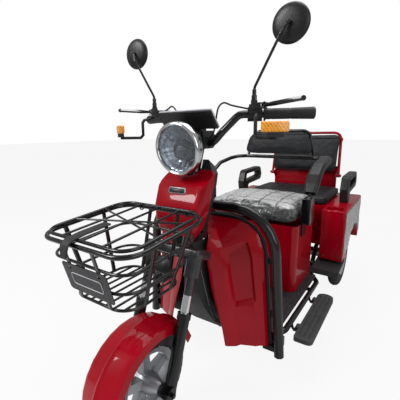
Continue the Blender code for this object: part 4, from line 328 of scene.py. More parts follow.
def lens(name, colour, deep, scale):
    look = Look(name, 0.0006, Coat_Weight=0.6, Coat_Roughness=0.05, Specular_IOR_Level=0.35)
    dots = look.cells(150.0)
    look.tint(look.sums("ADD", look.waves(scale, "DIAGONAL"), dots), deep, colour, 0.25, 1.2)
    look.matt(dots, 0.12, 0.30, 0.0, 0.6)
    look.bump(dots, 0.0012, 0.5)
    return look.done()


def clear_glass():
    look = Look("clear_glass", Transmission_Weight=0.94, IOR=1.30, Specular_IOR_Level=0.5)
    haze = look.clouds(28.0, 4.0)
    look.tint(haze, (0.60, 0.65, 0.71), (0.76, 0.81, 0.87))
    look.matt(haze, 0.01, 0.06)
    look.bump(look.waves(22.0), 0.0010, 0.35)
    return look.done()


def dark_glass():
    look = Look("dark_glass", Coat_Weight=1.0, Coat_Roughness=0.02, Metallic=0.3)
    look.tint(look.clouds(60.0, 3.0), (0.012, 0.014, 0.018), (0.05, 0.055, 0.065))
    look.matt(look.clouds(40.0, 3.0), 0.05, 0.14)
    return look.done()


def mirror_silver():
    look = Look("mirror_silver", Metallic=1.0)
    haze = look.clouds(30.0, 3.0)
    look.tint(haze, (0.88, 0.90, 0.92), (0.82, 0.85, 0.88))
    look.matt(haze, 0.01, 0.05)
    return look.done()


def fork_metal():
    """Chromed stanchions between the black covers and the sliders, black paint elsewhere."""
    look = Look("fork_metal", 0.0010, Coat_Weight=0.5, Coat_Roughness=0.10)
    along = look.along(AXIS, CROWN)
    side = look.sums("ABSOLUTE", look.along(X))
    near = look.sums("COMPARE", side, FORK_HALF, 0.0165)
    tube = look.sums("MULTIPLY", look.sums("LESS_THAN", along, -0.0562), near)
    smudge = look.clouds(40.0, 4.0)
    dark = look.colours(look.span(smudge, 0.3, 0.7), (0.010, 0.010, 0.012), (0.024, 0.025, 0.028))
    bright = look.colours(smudge, (0.84, 0.85, 0.86), (0.66, 0.67, 0.69))
    look.link(look.colours(tube, dark, bright), "Base Color")
    look.link(tube, "Metallic")
    rough = look.span(smudge, 0.3, 0.7, 0.28, 0.42)
    look.link(look.sums("ADD", look.sums("MULTIPLY", tube, -0.22), rough), "Roughness")
    look.bump(look.clouds(420.0, 2.0), 0.0003, 0.10)
    return look.done()


def screen():
    """Dark display glass with plain bars."""
    look = Look("screen_glass", Coat_Weight=1.0, Coat_Roughness=0.02)
    bars = look.sums("GREATER_THAN", look.waves(11.0), 0.72)
    window = look.sums("LESS_THAN", look.sums("ABSOLUTE", look.along(X)), 0.046)
    shown = look.sums("MULTIPLY", bars, window)
    look.link(look.colours(shown, (0.012, 0.018, 0.022), (0.10, 0.16, 0.15)), "Base Color")
    look.matt(look.clouds(50.0, 3.0), 0.08, 0.18)
    return look.done()


RED = red_paint()
BLACK = black_paint()
PLASTIC = black_plastic()
SATIN = black_plastic("grip_plastic", 0.010, 0.42)
RUBBER = grey_rubber()
RIBBED = grey_rubber("ribbed_rubber", 0.055)
THREAD = grey_rubber("thread", 0.10)
TYRE = tyre_rubber()
CHROME = chrome()
BRIGHT = chrome("bright_steel", 0.62, 0.22)
ALLOY = alloy()
VINYL = vinyl()
# each film has a painted sheen on the face named last, and painted highlights on its creases
SEAT_FILM = film("seat_film", 0.88, 0.20, "up")
BOX_FILM = film("box_film", 0.82, 0.25, "side")
AMBER = lens("amber_lens", (0.95, 0.40, 0.03), (0.62, 0.17, 0.006), 46.0)
RED_LENS = lens("red_lens", (0.34, 0.003, 0.004), (0.12, 0.001, 0.002), 60.0)
GLASS = clear_glass()
DARK_GLASS = dark_glass()
MIRROR = mirror_silver()
FORK = fork_metal()
SCREEN = screen()
PALE = black_plastic("pale_bezel", 0.46, 0.30)
ORANGE = black_plastic("orange_sleeve", 0.10, 0.45)
SCREW = black_plastic("dark_screw", 0.050, 0.32)

GIVEN = {
    "red_paint": RED, "black_paint": BLACK, "black_plastic": PLASTIC, "rubber": RUBBER,
    "tyre": TYRE, "chrome": CHROME, "alloy": ALLOY, "seat_vinyl": VINYL, "amber_lens": AMBER,
    "red_lens": RED_LENS, "clear_lens": GLASS,
}
for name, slot in SLOT_OF.items():
    NODES[name].data.materials.clear()
    NODES[name].data.materials.append(GIVEN[slot])
for name, look in (("fork_crown", FORK), ("grip_left", SATIN), ("throttle_grip", SATIN),
                   ("running_board_left", RIBBED), ("running_board_right", RIBBED)):
    NODES[name].data.materials[0] = look


# Mesh helpers

def new_object(name, mesh, look, body):
    """Link a finished mesh, smooth it, give it its material and let it ride on a body."""
    item = placed(name, mesh)
    mesh.materials.clear()
    mesh.materials.append(look)
    mesh.polygons.foreach_set("use_smooth", [True] * len(mesh.polygons))
    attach(item, body)
    return item


def creased(mesh, angle):
    """Keep a mesh's edges sharp where its faces meet at more than an angle in degrees."""
    shape = bmesh.new()
    shape.from_mesh(mesh)
    for edge in shape.edges:
        edge.smooth = edge.is_manifold and edge.calc_face_angle(0.0) < radians(angle)
    shape.to_mesh(mesh)
    shape.free()


def piece(name, shape, look, body, angle=None):
    """Turn a shape into an object, its edges kept sharp above an angle where one is given."""
    bmesh.ops.recalc_face_normals(shape, faces=shape.faces)
    mesh = bpy.data.meshes.new(name)
    shape.to_mesh(mesh)
    shape.free()
    item = new_object(name, mesh, look, body)
    if angle:
        creased(mesh, angle)
    return item


def circle(count):
    """Angles of points spread evenly round a circle."""
    return [2 * pi * k / count for k in range(count)]


def bridge(shape, rings, closed=False):
    """Faces from each ring of points to the next, and over both ends unless closed."""
    for low, high in zip(rings, rings[1:] + (rings[:1] if closed else [])):
        for k in range(len(low)):
            n = (k + 1) % len(low)
            shape.faces.new((low[k], low[n], high[n], high[k]))
    if not closed:
        shape.faces.new(list(reversed(rings[0])))
        shape.faces.new(rings[-1])


def frame_of(axis, up=Z):
    """Rotation whose local Z is the given axis."""
    z = Vector(axis).normalized()
    x = up.cross(z)
    if x.length < 1e-4:
        x = X.copy()
    x.normalize()
    return Matrix((x, z.cross(x), z)).transposed().to_4x4()


def add_tube(shape, points, radius, sides=8, closed=False):
    """Round tube along points, its frame carried along without twist."""
    count = len(points)
    rings = []
    over = None
    for index, point in enumerate(points):
        before = points[index - 1] if closed or index else points[0]
        after = points[(index + 1) % count] if closed or index < count - 1 else points[-1]
        along = (after - before).normalized()
        if over is None:
            over = along.orthogonal().normalized() if abs(along.z) > 0.9 else (
                Z - along * along.z).normalized()
        over = (over - along * over.dot(along)).normalized()
        across = along.cross(over)
        rings.append([shape.verts.new(point + across * (radius * cos(a))
                                      + over * (radius * sin(a))) for a in circle(sides)])
    bridge(shape, rings, closed)


def add_turned(shape, profile, place, steps, wobble=None):
    """Turn a closed profile of (radius, height) pairs about the local Z axis."""
    rings = []
    for turn in circle(steps):
        ring = []
        for r, z in profile:
            reach = r + (wobble(turn, r, z) if wobble else 0.0)
            ring.append(shape.verts.new(place @ Vector((reach * cos(turn),
                                                        reach * sin(turn), z))))
        rings.append(ring)
    bridge(shape, rings, closed=True)
    bmesh.ops.remove_doubles(shape, verts=shape.verts, dist=1e-6)


def turned(name, profile, place, steps, look, body, angle=None, wobble=None):
    """Piece turned from one profile."""
    shape = bmesh.new()
    add_turned(shape, profile, place, steps, wobble)
    return piece(name, shape, look, body, angle)


def slab(name, centre, turn, half, rim, corner, look, body):
    """Flat plate with round corners and a softened front edge."""
    shape = bmesh.new()
    rings = []
    for inset, z in ((0.0, -half[2]), (0.0, half[2] - rim), (rim, half[2])):
        ring = []
        for sx, sy, start in ((1, 1, 0.0), (-1, 1, 0.5), (-1, -1, 1.0), (1, -1, 1.5)):
            for k in range(6):
                a = pi * (start + 0.5 * k / 5)
                spot = Vector(((half[0] - corner) * sx + (corner - inset) * cos(a),
                               (half[1] - corner) * sy + (corner - inset) * sin(a), z))
                ring.append(shape.verts.new(centre + turn @ spot))
        rings.append(ring)
    bridge(shape, rings)
    piece(name, shape, look, body)


def add_bolt(shape, point, normal, radius):
    """Button head screw with a sunk socket."""
    tall = 0.0032
    place = Matrix.Translation(point - normal * 0.0006) @ frame_of(normal)
    profile = ((radius * 0.98, 0.0), (radius, tall * 0.35), (radius * 0.82, tall * 0.85),
               (radius * 0.55, tall), (radius * 0.46, tall), (radius * 0.44, tall * 0.35))
    bridge(shape, [[shape.verts.new(place @ Vector((r * cos(a), r * sin(a), z)))
                    for a in circle(12)] for r, z in profile])


def tree_of(mesh):
    return BVHTree.FromPolygons([v.co.copy() for v in mesh.vertices],
                                [tuple(p.vertices) for p in mesh.polygons])


TREES = {}


def hit(node, start, direction):
    """Point and outward normal where a line first meets a node's surface."""
    if node not in TREES:
        TREES[node] = tree_of(NODES[node].data)
    direction = Vector(direction).normalized()
    point, normal, _, _ = TREES[node].ray_cast(Vector(start), direction)
    if point is None:
        return None, None
    if normal.dot(direction) > 0:
        normal = -normal
    return point, normal


def applied(item):
    """The object's mesh with its modifiers applied."""
    graph = bpy.context.evaluated_depsgraph_get()
    mesh = bpy.data.meshes.new_from_object(item.evaluated_get(graph))
    item.modifiers.clear()
    old = item.data
    item.data = mesh
    bpy.data.meshes.remove(old)
    return mesh


def modifier(item, kind, **values):
    """Add a modifier with the values given."""
    made = item.modifiers.new(kind.lower(), kind)
    for key, value in values.items():
        setattr(made, key, value)
    return made


def remeshed(node, voxel):
    """Loose copy of a solid under an even remesh."""
    item = placed(node + "_form", NODES[node].data.copy())
    modifier(item, "REMESH", mode="VOXEL", voxel_size=voxel)
    return item


# Skins over the solids

def stand_in(node, ending, mesh):
    """A mesh that takes a solid's place, body and material."""
    item = new_object(node + ending, mesh, NODES[node].data.materials[0], BODY_OF[node])
    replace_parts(item, node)
    return item


def skin(node, angle):
    """Smooth copy of a solid's faces, its real edges kept sharp, in place of the facets."""
    shape = bmesh.new()
    shape.from_mesh(NODES[node].data)
    bmesh.ops.remove_doubles(shape, verts=shape.verts, dist=1e-5)
    mesh = bpy.data.meshes.new(node + "_skin")
    shape.to_mesh(mesh)
    shape.free()
    item = stand_in(node, "_skin", mesh)
    creased(mesh, angle)
    modifier(item, "WEIGHTED_NORMAL", keep_sharp=True)


def softened(node, voxel, rounds):
    """Finely meshed and rounded copy of a rubber piece, in place of its solid."""
    item = remeshed(node, voxel)
    modifier(item, "SMOOTH", iterations=rounds)
    mesh = applied(item)
    bpy.data.objects.remove(item)
    return stand_in(node, "_soft", mesh)


def named(line):
    """Node names in a line of text, a star standing for left and right."""
    return [word.replace("*", side) for word in line.split()
            for side in (("left", "right") if "*" in word else ("",))]


TUBES = named("arm_hoop crash_bar handlebar main_frame mirror_stem_* rear_backrest_frame "
              "rear_axle_housing fork_crown fork_lower horn switch_pod_* throttle_grip grip_left")
FLATS = named("head_cover leg_shield inner_shield front_fender front_rim rear_rim_* dash_display "
              "floor_deck seat_box rear_body side_box_* running_board_* brake_lever_* "
              "signal_lens_* tail_lamp number_plate battery_pack rear_step_*")
for nodes, angle in ((TUBES, 62.0), (FLATS, 38.0)):
    for node in nodes:
        skin(node, angle)
softened("lid_strap", 0.0014, 4)
softened("arm_pad", 0.0024, 10)
softened("rear_armrest_left", 0.0024, 14)
softened("rear_armrest_right", 0.0024, 14)


def rounded(points, bend, steps):
    """A closed path whose corners are replaced by arcs."""
    path = []
    for index, corner in enumerate(points):
        back = points[index - 1] - corner
        on = points[(index + 1) % len(points)] - corner
        spread = back.angle(on)
        reach = min(bend / tan(spread / 2), back.length * 0.49, on.length * 0.49)
        curve = reach * tan(spread / 2)
        middle = (back.normalized() + on.normalized()).normalized()
        centre = corner + middle * (curve / sin(spread / 2))
        first = corner + back.normalized() * reach - centre
        last = corner + on.normalized() * reach - centre
        sweep = first.angle(last)
        for step in range(steps + 1):
            part = step / steps
            path.append(centre + first * (sin((1 - part) * sweep) / sin(sweep))
                        + last * (sin(part * sweep) / sin(sweep)))
    return path


# Brake cables

CABLE_ROUTE = ((0.1797, -0.3910, 1.0020), (0.131, -0.408, 1.014), (0.105, -0.415, 1.023),
               (0.086, -0.417, 1.008), (0.074, -0.412, 0.970), (0.062, -0.408, 0.930),
               (0.0450, -0.406, 0.912))


def smooth_route(points, steps):
    """Points on a Catmull-Rom curve through the route."""
    ends = [points[0] * 2 - points[1]] + points + [points[-1] * 2 - points[-2]]
    path = []
    for a, b, c, d in zip(ends, ends[1:], ends[2:], ends[3:]):
        for step in range(steps):
            t = step / steps
            path.append(((b * 2) + (c - a) * t + (a * 2 - b * 5 + c * 4 - d) * t * t
                         + (b * 3 - a - c * 3 + d) * t ** 3) / 2)
    return path + [points[-1]]


def brake_cables():
    """Free stretch of each outer cable, from the perch to the side of the dash."""
    for word, side in SIDES:
        node = "brake_cable_" + word
        points = smooth_route([Vector((x * side, y, z)) for x, y, z in CABLE_ROUTE], 5)
        shape = bmesh.new()
        add_tube(shape, points, 0.0028, 12)
        item = piece(node + "_sleeve", shape, PLASTIC, "steering", 50.0)
        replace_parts(item, node)


brake_cables()


# Wire basket and its lid

TOP_HALF, FOOT_HALF = 0.165, 0.108
TOP_BACK, TOP_FRONT = Vector((0.0, -0.602, 0.702)), Vector((0.0, -0.908, 0.680))
FOOT_BACK, FOOT_FRONT = Vector((0.0, -0.652, 0.518)), Vector((0.0, -0.866, 0.518))


def basket_wall(share):
    return (TOP_HALF + (FOOT_HALF - TOP_HALF) * share, TOP_BACK.lerp(FOOT_BACK, share),
            TOP_FRONT.lerp(FOOT_FRONT, share))


def basket_loop(share, inset=0.0, lift=0.0, corner=0.058):
    half, back, front = basket_wall(share)
    half -= inset
    back = back + Vector((0.0, -inset, lift))
    front = front + Vector((0.0, inset, lift))
    return rounded([back + X * half, front + X * half, front - X * half, back - X * half],
                   corner - inset, 8)


STRIP_WIDTH, STRIP_THICK, STRIP_OUT = 0.014, 0.0026, 0.0045
STRIP_EDGE = ((1, 0.5), (0.9, 1), (-0.9, 1), (-1, 0.5), (-1, -0.5), (-0.9, -1), (0.9, -1),
              (1, -0.5))


def add_strip(shape, top, foot, out):
    """Flat bar with softened edges, laid on the outside of the rings."""
    along = (foot - top).normalized()
    across = along.cross(out).normalized()
    normal = across.cross(along).normalized()
    bridge(shape, [[shape.verts.new(point + across * (a * STRIP_WIDTH / 2)
                                    + normal * (STRIP_OUT + (b - 1) * STRIP_THICK / 2))
                    for a, b in STRIP_EDGE] for point in (top, foot)])


def wire_basket():
    """Round wires and flat bars in place of the basket's plain solid."""
    shape = bmesh.new()
    add_tube(shape, basket_loop(0.0), 0.0060, 14, closed=True)
    for share in (0.30, 0.66, 1.0):
        add_tube(shape, basket_loop(share, corner=0.054), 0.0040, 12, closed=True)
    for side in (1, -1):
        for part in (0.30, 0.74):
            spots = []
            for share in (0.0, 1.0):
                half, back, front = basket_wall(share)
                spots.append(back.lerp(front, part) + X * half * side)
            add_strip(shape, *spots, X * side)
    for x in (-0.055, 0.055):
        for index, way in ((1, Y), (2, -Y)):
            add_strip(shape, basket_wall(0.0)[index] + X * x, basket_wall(1.0)[index] + X * x,
                      way)
    for x in (-0.084, -0.056, -0.028, 0.0, 0.028, 0.056, 0.084):
        trim = 0.012 if abs(x) > 0.06 else 0.0
        add_tube(shape, [FOOT_BACK + X * x - Y * trim, FOOT_FRONT + X * x + Y * trim], 0.0032, 10)
    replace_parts(piece("basket_wire", shape, BLACK, "steering", 50.0), "basket")


def wire_lid():
    """Round wires in place of the lid's plain solid."""
    inset, rise = 0.010, 0.011
    shape = bmesh.new()
    add_tube(shape, basket_loop(0.0, inset, rise), 0.0045, 14, closed=True)
    back = TOP_BACK + Vector((0.0, -inset, rise))
    front = TOP_FRONT + Vector((0.0, inset, rise))
    for x in (-0.075, 0.0, 0.075):
        add_tube(shape, [back + X * x, front + X * x], 0.0032, 12)
    half = TOP_HALF - inset
    for way in (1, -1):
        add_tube(shape, [back.lerp(front, 0.30) - X * half * way,
                         back.lerp(front, 0.66) + X * half * way], 0.0028, 12)
    ring = 0.0060 + 0.0034 + 0.0004    # radius of an eye, as in the solid
    for x in (-0.090, 0.090):
        centre = TOP_BACK + X * x
        eye = [centre + Vector((0.0, cos(a), sin(a))) * ring for a in circle(24)]
        add_tube(shape, eye, 0.0022, 10, closed=True)
        toward = (back + X * x - centre).normalized()
        add_tube(shape, [centre + toward * ring, back + X * x], 0.0026, 10)
    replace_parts(piece("lid_wire", shape, BLACK, "lid", 50.0), "basket_lid")


wire_basket()
wire_lid()


# Cushions, each block given in a frame of its own

CUSHIONS = {
    "driver_seat_cushion": dict(low=(-0.216, -0.004, 0.5343), high=(0.216, 0.340, 0.6213),
                                crown=0.022, corner=0.055, taper=0.0),
    "driver_back_cushion": dict(low=(-0.191, 0.0, 0.0), high=(0.191, 0.1195, 0.046),
                                crown=0.010, corner=0.040, taper=0.1675),
    "rear_seat_cushion": dict(low=(-0.2465, 0.462, 0.5253), high=(0.2465, 0.864, 0.5793),
                              crown=0.012, corner=0.035, taper=0.0),
    "rear_backrest_cushion": dict(low=(-0.208, 0.022, 0.0), high=(0.208, 0.263, 0.036),
                                  crown=0.006, corner=0.030, taper=-0.03846),
}
FACE = Matrix(((1, 0, 0), (0, 0, -1), (0, 1, 0))).to_4x4()    # local y up, local z ahead
LEAN = atan2(0.020, 0.148)
EDGE_POINTS = 120
EDGE_DROP = 0.004       # from the foot of the crown down to the piping
FILL_CAP = 0.0055       # how far the simulation may move a point
FILL_SHRINK = 0.0030    # how far the form is drawn in before it
SEAM_WIDTH, SEAM_DEPTH = 0.0045, 0.0050
PLACES = {
    "driver_seat_cushion": Matrix.Identity(4),
    "driver_back_cushion": Matrix.Translation((0.0, 0.37228, 0.8065)) @ Matrix.Rotation(
        -LEAN, 4, "X") @ FACE,
    "rear_seat_cushion": Matrix.Identity(4),
    "rear_backrest_cushion": Matrix.Translation((0.0, 0.87932, 0.640)) @ Matrix.Rotation(
        -radians(9.5), 4, "X") @ Matrix.Translation((0.0, -0.0098, 0.0)) @ FACE,
}


def cushion_edge(node, grow, drop):
    """Points round a cushion's upper edge, in the part's frame."""
    spec = CUSHIONS[node]
    low, high = Vector(spec["low"]), Vector(spec["high"])
    middle = (low + high) / 2
    half_x, half_y = (high.x - low.x) / 2 + grow, (high.y - low.y) / 2 + grow
    corner = spec["corner"] + grow
    level = high.z - spec["crown"] - EDGE_DROP - drop
    lengths = (2 * (half_x - corner), 2 * (half_y - corner), pi / 2 * corner)
    total = 2 * lengths[0] + 2 * lengths[1] + 4 * lengths[2]
    corners = ((1, 1), (-1, 1), (-1, -1), (1, -1))
    points = []
    for k in range(EDGE_POINTS):
        walk = total * k / EDGE_POINTS
        for side in range(4):
            sx, sy = corners[side]
            if walk < lengths[2]:
                a = pi / 2 * side + walk / corner
                x = (half_x - corner) * sx + corner * cos(a)
                y = (half_y - corner) * sy + corner * sin(a)
                break
            walk -= lengths[2]
            straight = lengths[side % 2]
            if walk < straight:
                a = pi / 2 * (side + 1)
                start = Vector(((half_x - corner) * sx + corner * cos(a),
                                (half_y - corner) * sy + corner * sin(a), 0.0))
                run = Vector((-sin(a), cos(a), 0.0)) * walk
                x, y = (start + run).xy
                break
            walk -= straight
        v = y / half_y
        x *= 1.0 - spec["taper"] * (v + 1.0) / 2.0
        points.append(PLACES[node] @ Vector((middle.x + x, middle.y + y, level)))
    return points


def blown(node, push):
    """Remeshed solid, filled by cloth simulation like a stuffed cover, no further than the cap."""
    item = remeshed(node, 0.0055)
    applied(item)
    modifier(item, "SMOOTH", iterations=3)
    mesh = applied(item)
    for vertex, normal in zip(mesh.vertices, [v.normal.copy() for v in mesh.vertices]):
        vertex.co = vertex.co - normal * FILL_SHRINK
    rest = [v.co.copy() for v in mesh.vertices]
    cloth = modifier(item, "CLOTH")
    cloth.settings.quality = 3
    cloth.settings.mass = 0.3
    cloth.settings.use_pressure = True
    cloth.settings.uniform_pressure_force = push
    cloth.settings.effector_weights.gravity = 0.0
    cloth.collision_settings.use_collision = False
    for number in range(1, 15):
        bpy.context.scene.frame_set(number)
    mesh = applied(item)
    bpy.context.scene.frame_set(1)
    for vertex, start in zip(mesh.vertices, rest):
        move = vertex.co - start
        if move.length > FILL_CAP:
            vertex.co = start + move.normalized() * FILL_CAP
    modifier(item, "SMOOTH", iterations=4)
    modifier(item, "SUBSURF", levels=1, render_levels=1)
    mesh = applied(item)
    bpy.data.objects.remove(item)
    return mesh


def cushion(node, body, across, down, push=3.0):
    """A crowned, filled cushion with sewn channels and piping, in place of its solid."""
    spec = CUSHIONS[node]
    low, high = Vector(spec["low"]), Vector(spec["high"])
    mesh = blown(node, push)
    inverse = PLACES[node].inverted()
    middle = (low + high) / 2
    half = (high - low) / 2
    for vertex in mesh.vertices:
        local = inverse @ vertex.co
        local += Z * noise.fractal(vertex.co * 26.0, 0.8, 2.1, 4) * 0.0011
        if local.z > high.z - spec["crown"] - 0.010:
            inner = max(abs(local.x - middle.x) / half.x, abs(local.y - middle.y) / half.y)
            fade = min(1.0, max(0.0, (0.97 - inner) / 0.08))
            dips = [exp(-((local.x - line) / SEAM_WIDTH) ** 2) for line in across]
            dips += [exp(-((local.y - line) / SEAM_WIDTH) ** 2) for line in down]
            local.z -= SEAM_DEPTH * max(dips) * fade
        local.z = max(local.z, low.z + 0.0004)
        vertex.co = PLACES[node] @ local
    mesh.update()
    item = new_object(node + "_cover", mesh, VINYL, body)
    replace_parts(item, node)
    tree = tree_of(mesh)
    shape = bmesh.new()
    for drop in (0.0, high.z - spec["crown"] - EDGE_DROP - low.z - 0.007):
        seated = []
        for point in cushion_edge(node, 0.001, drop):
            near, normal, _, _ = tree.find_nearest(point)
            seated.append(near + normal * 0.0006)
        add_tube(shape, seated, 0.0023, 6, closed=True)
    piece(node + "_piping", shape, VINYL, body)
    shape = bmesh.new()
    stitches(shape, tree, node, across, down)
    piece(node + "_stitches", shape, THREAD, body)
    return item


def stitches(shape, tree, node, across, down):
    """Short thread stitches along each sewn line."""
    spec = CUSHIONS[node]
    low, high = Vector(spec["low"]), Vector(spec["high"])
    out = (PLACES[node].to_3x3() @ Z).normalized()
    inset, pitch = 0.022, 0.009
    runs = [(Vector((x, low.y + inset, high.z)), Vector((x, high.y - inset, high.z)))
            for x in across]
    runs += [(Vector((low.x + inset, y, high.z)), Vector((high.x - inset, y, high.z)))
             for y in down]
    for start, end in runs:
        count = int((end - start).length / pitch)
        for k in range(count):
            pair = []
            for part in (0.15, 0.80):
                spot = PLACES[node] @ start.lerp(end, (k + part) / count)
                point = tree.ray_cast(spot + out * 0.05, -out)[0]
                if point is not None:
                    pair.append(point + out * 0.0002)
            if len(pair) == 2:
                add_tube(shape, pair, 0.0006, 4)


SEAT = cushion("driver_seat_cushion", "driver_seat", (-0.1296, -0.0432, 0.0432, 0.1296),
               (0.060, 0.146, 0.232, 0.300))
cushion("driver_back_cushion", "chassis", (), (0.100,), 2.0)
cushion("rear_seat_cushion", "chassis", (-0.083, 0.083), ())
cushion("rear_backrest_cushion", "backrest", (), (0.232,), 2.0)
FILM_FOOT = 0.5375    # height of the film's lower edge


def seat_film():
    """Loose clear film over the driver's cushion, gathered under its edge."""
    shape = bmesh.new()
    shape.from_mesh(SEAT.data)
    gone = [f for f in shape.faces if f.calc_center_median().z < FILM_FOOT]
    bmesh.ops.delete(shape, geom=gone, context="FACES")
    shape.normal_update()
    for vertex in shape.verts:
        p = vertex.co
        side = 1.0 - max(0.0, min(1.0, vertex.normal.z))
        big = 1.0 - abs(noise.noise(Vector((p.x * 17.0, p.y * 17.0, p.z * 30.0))))
        small = 1.0 - abs(noise.noise(Vector((p.x * 46.0 + 9.0, p.y * 46.0, p.z * 60.0))))
        lift = 0.0024 + 0.0020 * big ** 3 + 0.0012 * small ** 3 + 0.0036 * side * big ** 2
        foot = max(0.0, min(1.0, (p.z - FILM_FOOT) / 0.018))
        vertex.co = p + vertex.normal * lift * (0.25 + 0.75 * foot)
    item = piece("driver_seat_film", shape, SEAT_FILM, "driver_seat")
    modifier(item, "SOLIDIFY", thickness=0.0004, offset=1.0)


seat_film()


# Wheels

def tyre(node, body, centre):
    """Tyre with a block tread, side ribs and beads, in place of the plain solid."""
    half = TYRE_WIDTH / 2
    reach = TYRE_RADIUS - 0.0003 - RIM_RADIUS
    steps = 26
    profile = []
    for k in range(steps + 1):
        turn = pi * k / steps
        bulge = sin(turn) ** 0.62 if 0 < k < steps else 0.0
        profile.append((RIM_RADIUS + reach * bulge,
                        (half - 0.0006) * cos(turn) * (0.80 + 0.20 * bulge)))
    profile += [(RIM_RADIUS + 0.004, -half * 0.62), (TYRE_RADIUS - 0.024, -half * 0.58),
                (TYRE_RADIUS - 0.024, half * 0.58), (RIM_RADIUS + 0.004, half * 0.62)]

    def tread(turn, r, z):
        if r < RIM_RADIUS + 0.030:
            return 0.0008 * exp(-((r - RIM_RADIUS - 0.020) / 0.0018) ** 2)
        across = abs(z / half)
        block = turn / (2 * pi) * 44
        groove = (block + across * 0.9) % 1.0 < 0.34 and across > 0.26
        line = 0.15 < across < 0.25
        cut = block % 1.0 < 0.16 and across < 0.1
        return -0.0042 if groove or line or cut else 0.0

    place = Matrix.Translation(centre) @ frame_of(X)
    item = turned(node + "_tread", profile, place, 264, TYRE, body, wobble=tread)
    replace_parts(item, node)


RIM_LOW, RIM_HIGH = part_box("front_rim")
FRONT_AXLE = Vector((0.0, *((RIM_LOW + RIM_HIGH) / 2).yz))
tyre("front_tyre", "front_wheel", FRONT_AXLE)
for word, side in SIDES:
    tyre("rear_tyre_" + word, "rear_wheel_" + word, Vector((0.302 * side, 0.65, TYRE_RADIUS)))


# Lamp, dash and mirrors

def lamp():
    """Round bucket, bezel and lens; behind them a reflector, a projector and side lights."""
    ahead = Vector((0.0, -cos(LAMP_TILT), -sin(LAMP_TILT)))
    place = Matrix.Translation(LAMP_CENTRE) @ frame_of(ahead)
    below = place @ Matrix.Translation((0.0, -0.010, 0.0))
    r = LAMP_RADIUS
    bucket = [(r - 0.004, -0.006), (r - 0.004, -0.026), (r - 0.008, -0.038), (r - 0.016, -0.052),
              (r - 0.027, -0.063), (r - 0.040, -0.071), (0.022, -0.077), (0.022, -0.088),
              (0.0, -0.088), (0.0, -0.072), (r - 0.042, -0.067), (r - 0.0125, -0.036),
              (r - 0.0068, -0.006)]
    bezel = [(r - 0.0037, -0.022), (r - 0.0037, -0.0054), (r - 0.012, -0.0054),
             (r - 0.012, 0.0020), (r - 0.0105, 0.0048), (r - 0.0080, 0.0064), (r - 0.0050, 0.0060),
             (r - 0.0022, 0.0036), (r, 0.0004), (r, -0.022)]
    s = r - 0.0123
    dome = [(0.0, 0.0100), (s * 0.28, 0.0095), (s * 0.55, 0.0080), (s * 0.8, 0.0050), (s, 0.0010),
            (s, -0.0020), (s * 0.8, 0.0020), (s * 0.55, 0.0050), (s * 0.28, 0.0065), (0.0, 0.0070)]
    for word, rows, look in (("shell", bucket, PLASTIC), ("ring", bezel, CHROME),
                             ("lens", dome, GLASS)):
        node = "headlight_" + word
        item = turned(node + "_round", rows, place, 96, look, "steering", 40.0)
        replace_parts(item, node)
    bowl = [(0.0705, -0.0062), (0.066, -0.020), (0.056, -0.034), (0.040, -0.046),
            (0.026, -0.052), (0.0255, -0.056), (0.042, -0.0495), (0.058, -0.037),
            (0.0685, -0.021), (0.0722, -0.0062)]

    def flute(turn, radius, _):
        return 0.0010 * cos(18 * turn) if radius > 0.03 else 0.0
    turned("lamp_reflector", bowl, place, 144, BRIGHT, "steering", wobble=flute)
    collar = [(0.030, -0.050), (0.030, -0.022), (0.027, -0.019), (0.0245, -0.020),
              (0.0245, -0.050)]
    turned("lamp_collar", collar, below, 48, PLASTIC, "steering")
    bulb = [(0.0, -0.034), (0.0243, -0.034), (0.0243, -0.028), (0.020, -0.0195),
            (0.012, -0.014), (0.0, -0.0125)]
    turned("lamp_projector", bulb, below, 40, DARK_GLASS, "steering")
    spot = [(0.0, -0.040), (0.010, -0.040), (0.010, -0.024), (0.007, -0.018), (0.0, -0.017)]
    shape = bmesh.new()
    for x in (-0.036, 0.036):
        add_turned(shape, spot, place @ Matrix.Translation((x, 0.030, 0.0)), 20)
    piece("lamp_side_lights", shape, GLASS, "steering")


lamp()


def dash():
    """Display glass on the rider's face of the dash, and a pale bezel round its edge."""
    down = Vector((0.0, cos(DASH_TILT), -sin(DASH_TILT)))
    face = Vector((0.0, sin(DASH_TILT), cos(DASH_TILT)))
    turn = Matrix((X, -down, face)).transposed()
    centre = DASH_TOP + down * DASH_LENGTH / 2
    slab("dash_screen", centre + face * 0.0008, turn, (0.090, 0.026, 0.0008), 0.0005, 0.005,
         SCREEN, "steering")
    half = DASH_WIDTH / 2
    back = face * -0.0030
    corners = [DASH_TOP + X * x + down * y + back for x, y in
               ((half, 0.0), (-half, 0.0), (-half, DASH_LENGTH), (half, DASH_LENGTH))]
    shape = bmesh.new()
    for a, b in zip(corners, corners[1:] + corners[:1]):
        add_tube(shape, [a, b], 0.0028)
    piece("dash_bezel", shape, PALE, "steering")
    button = [(0.0, -0.001), (0.0042, -0.001), (0.0042, 0.0014), (0.0032, 0.0020), (0.0, 0.0020)]
    shape = bmesh.new()
    for x in (-0.075, -0.060):
        place = Matrix.Translation(centre + down * 0.029 + X * x) @ frame_of(face)
        add_turned(shape, button, place, 20)
    piece("dash_buttons", shape, SATIN, "steering")


dash()


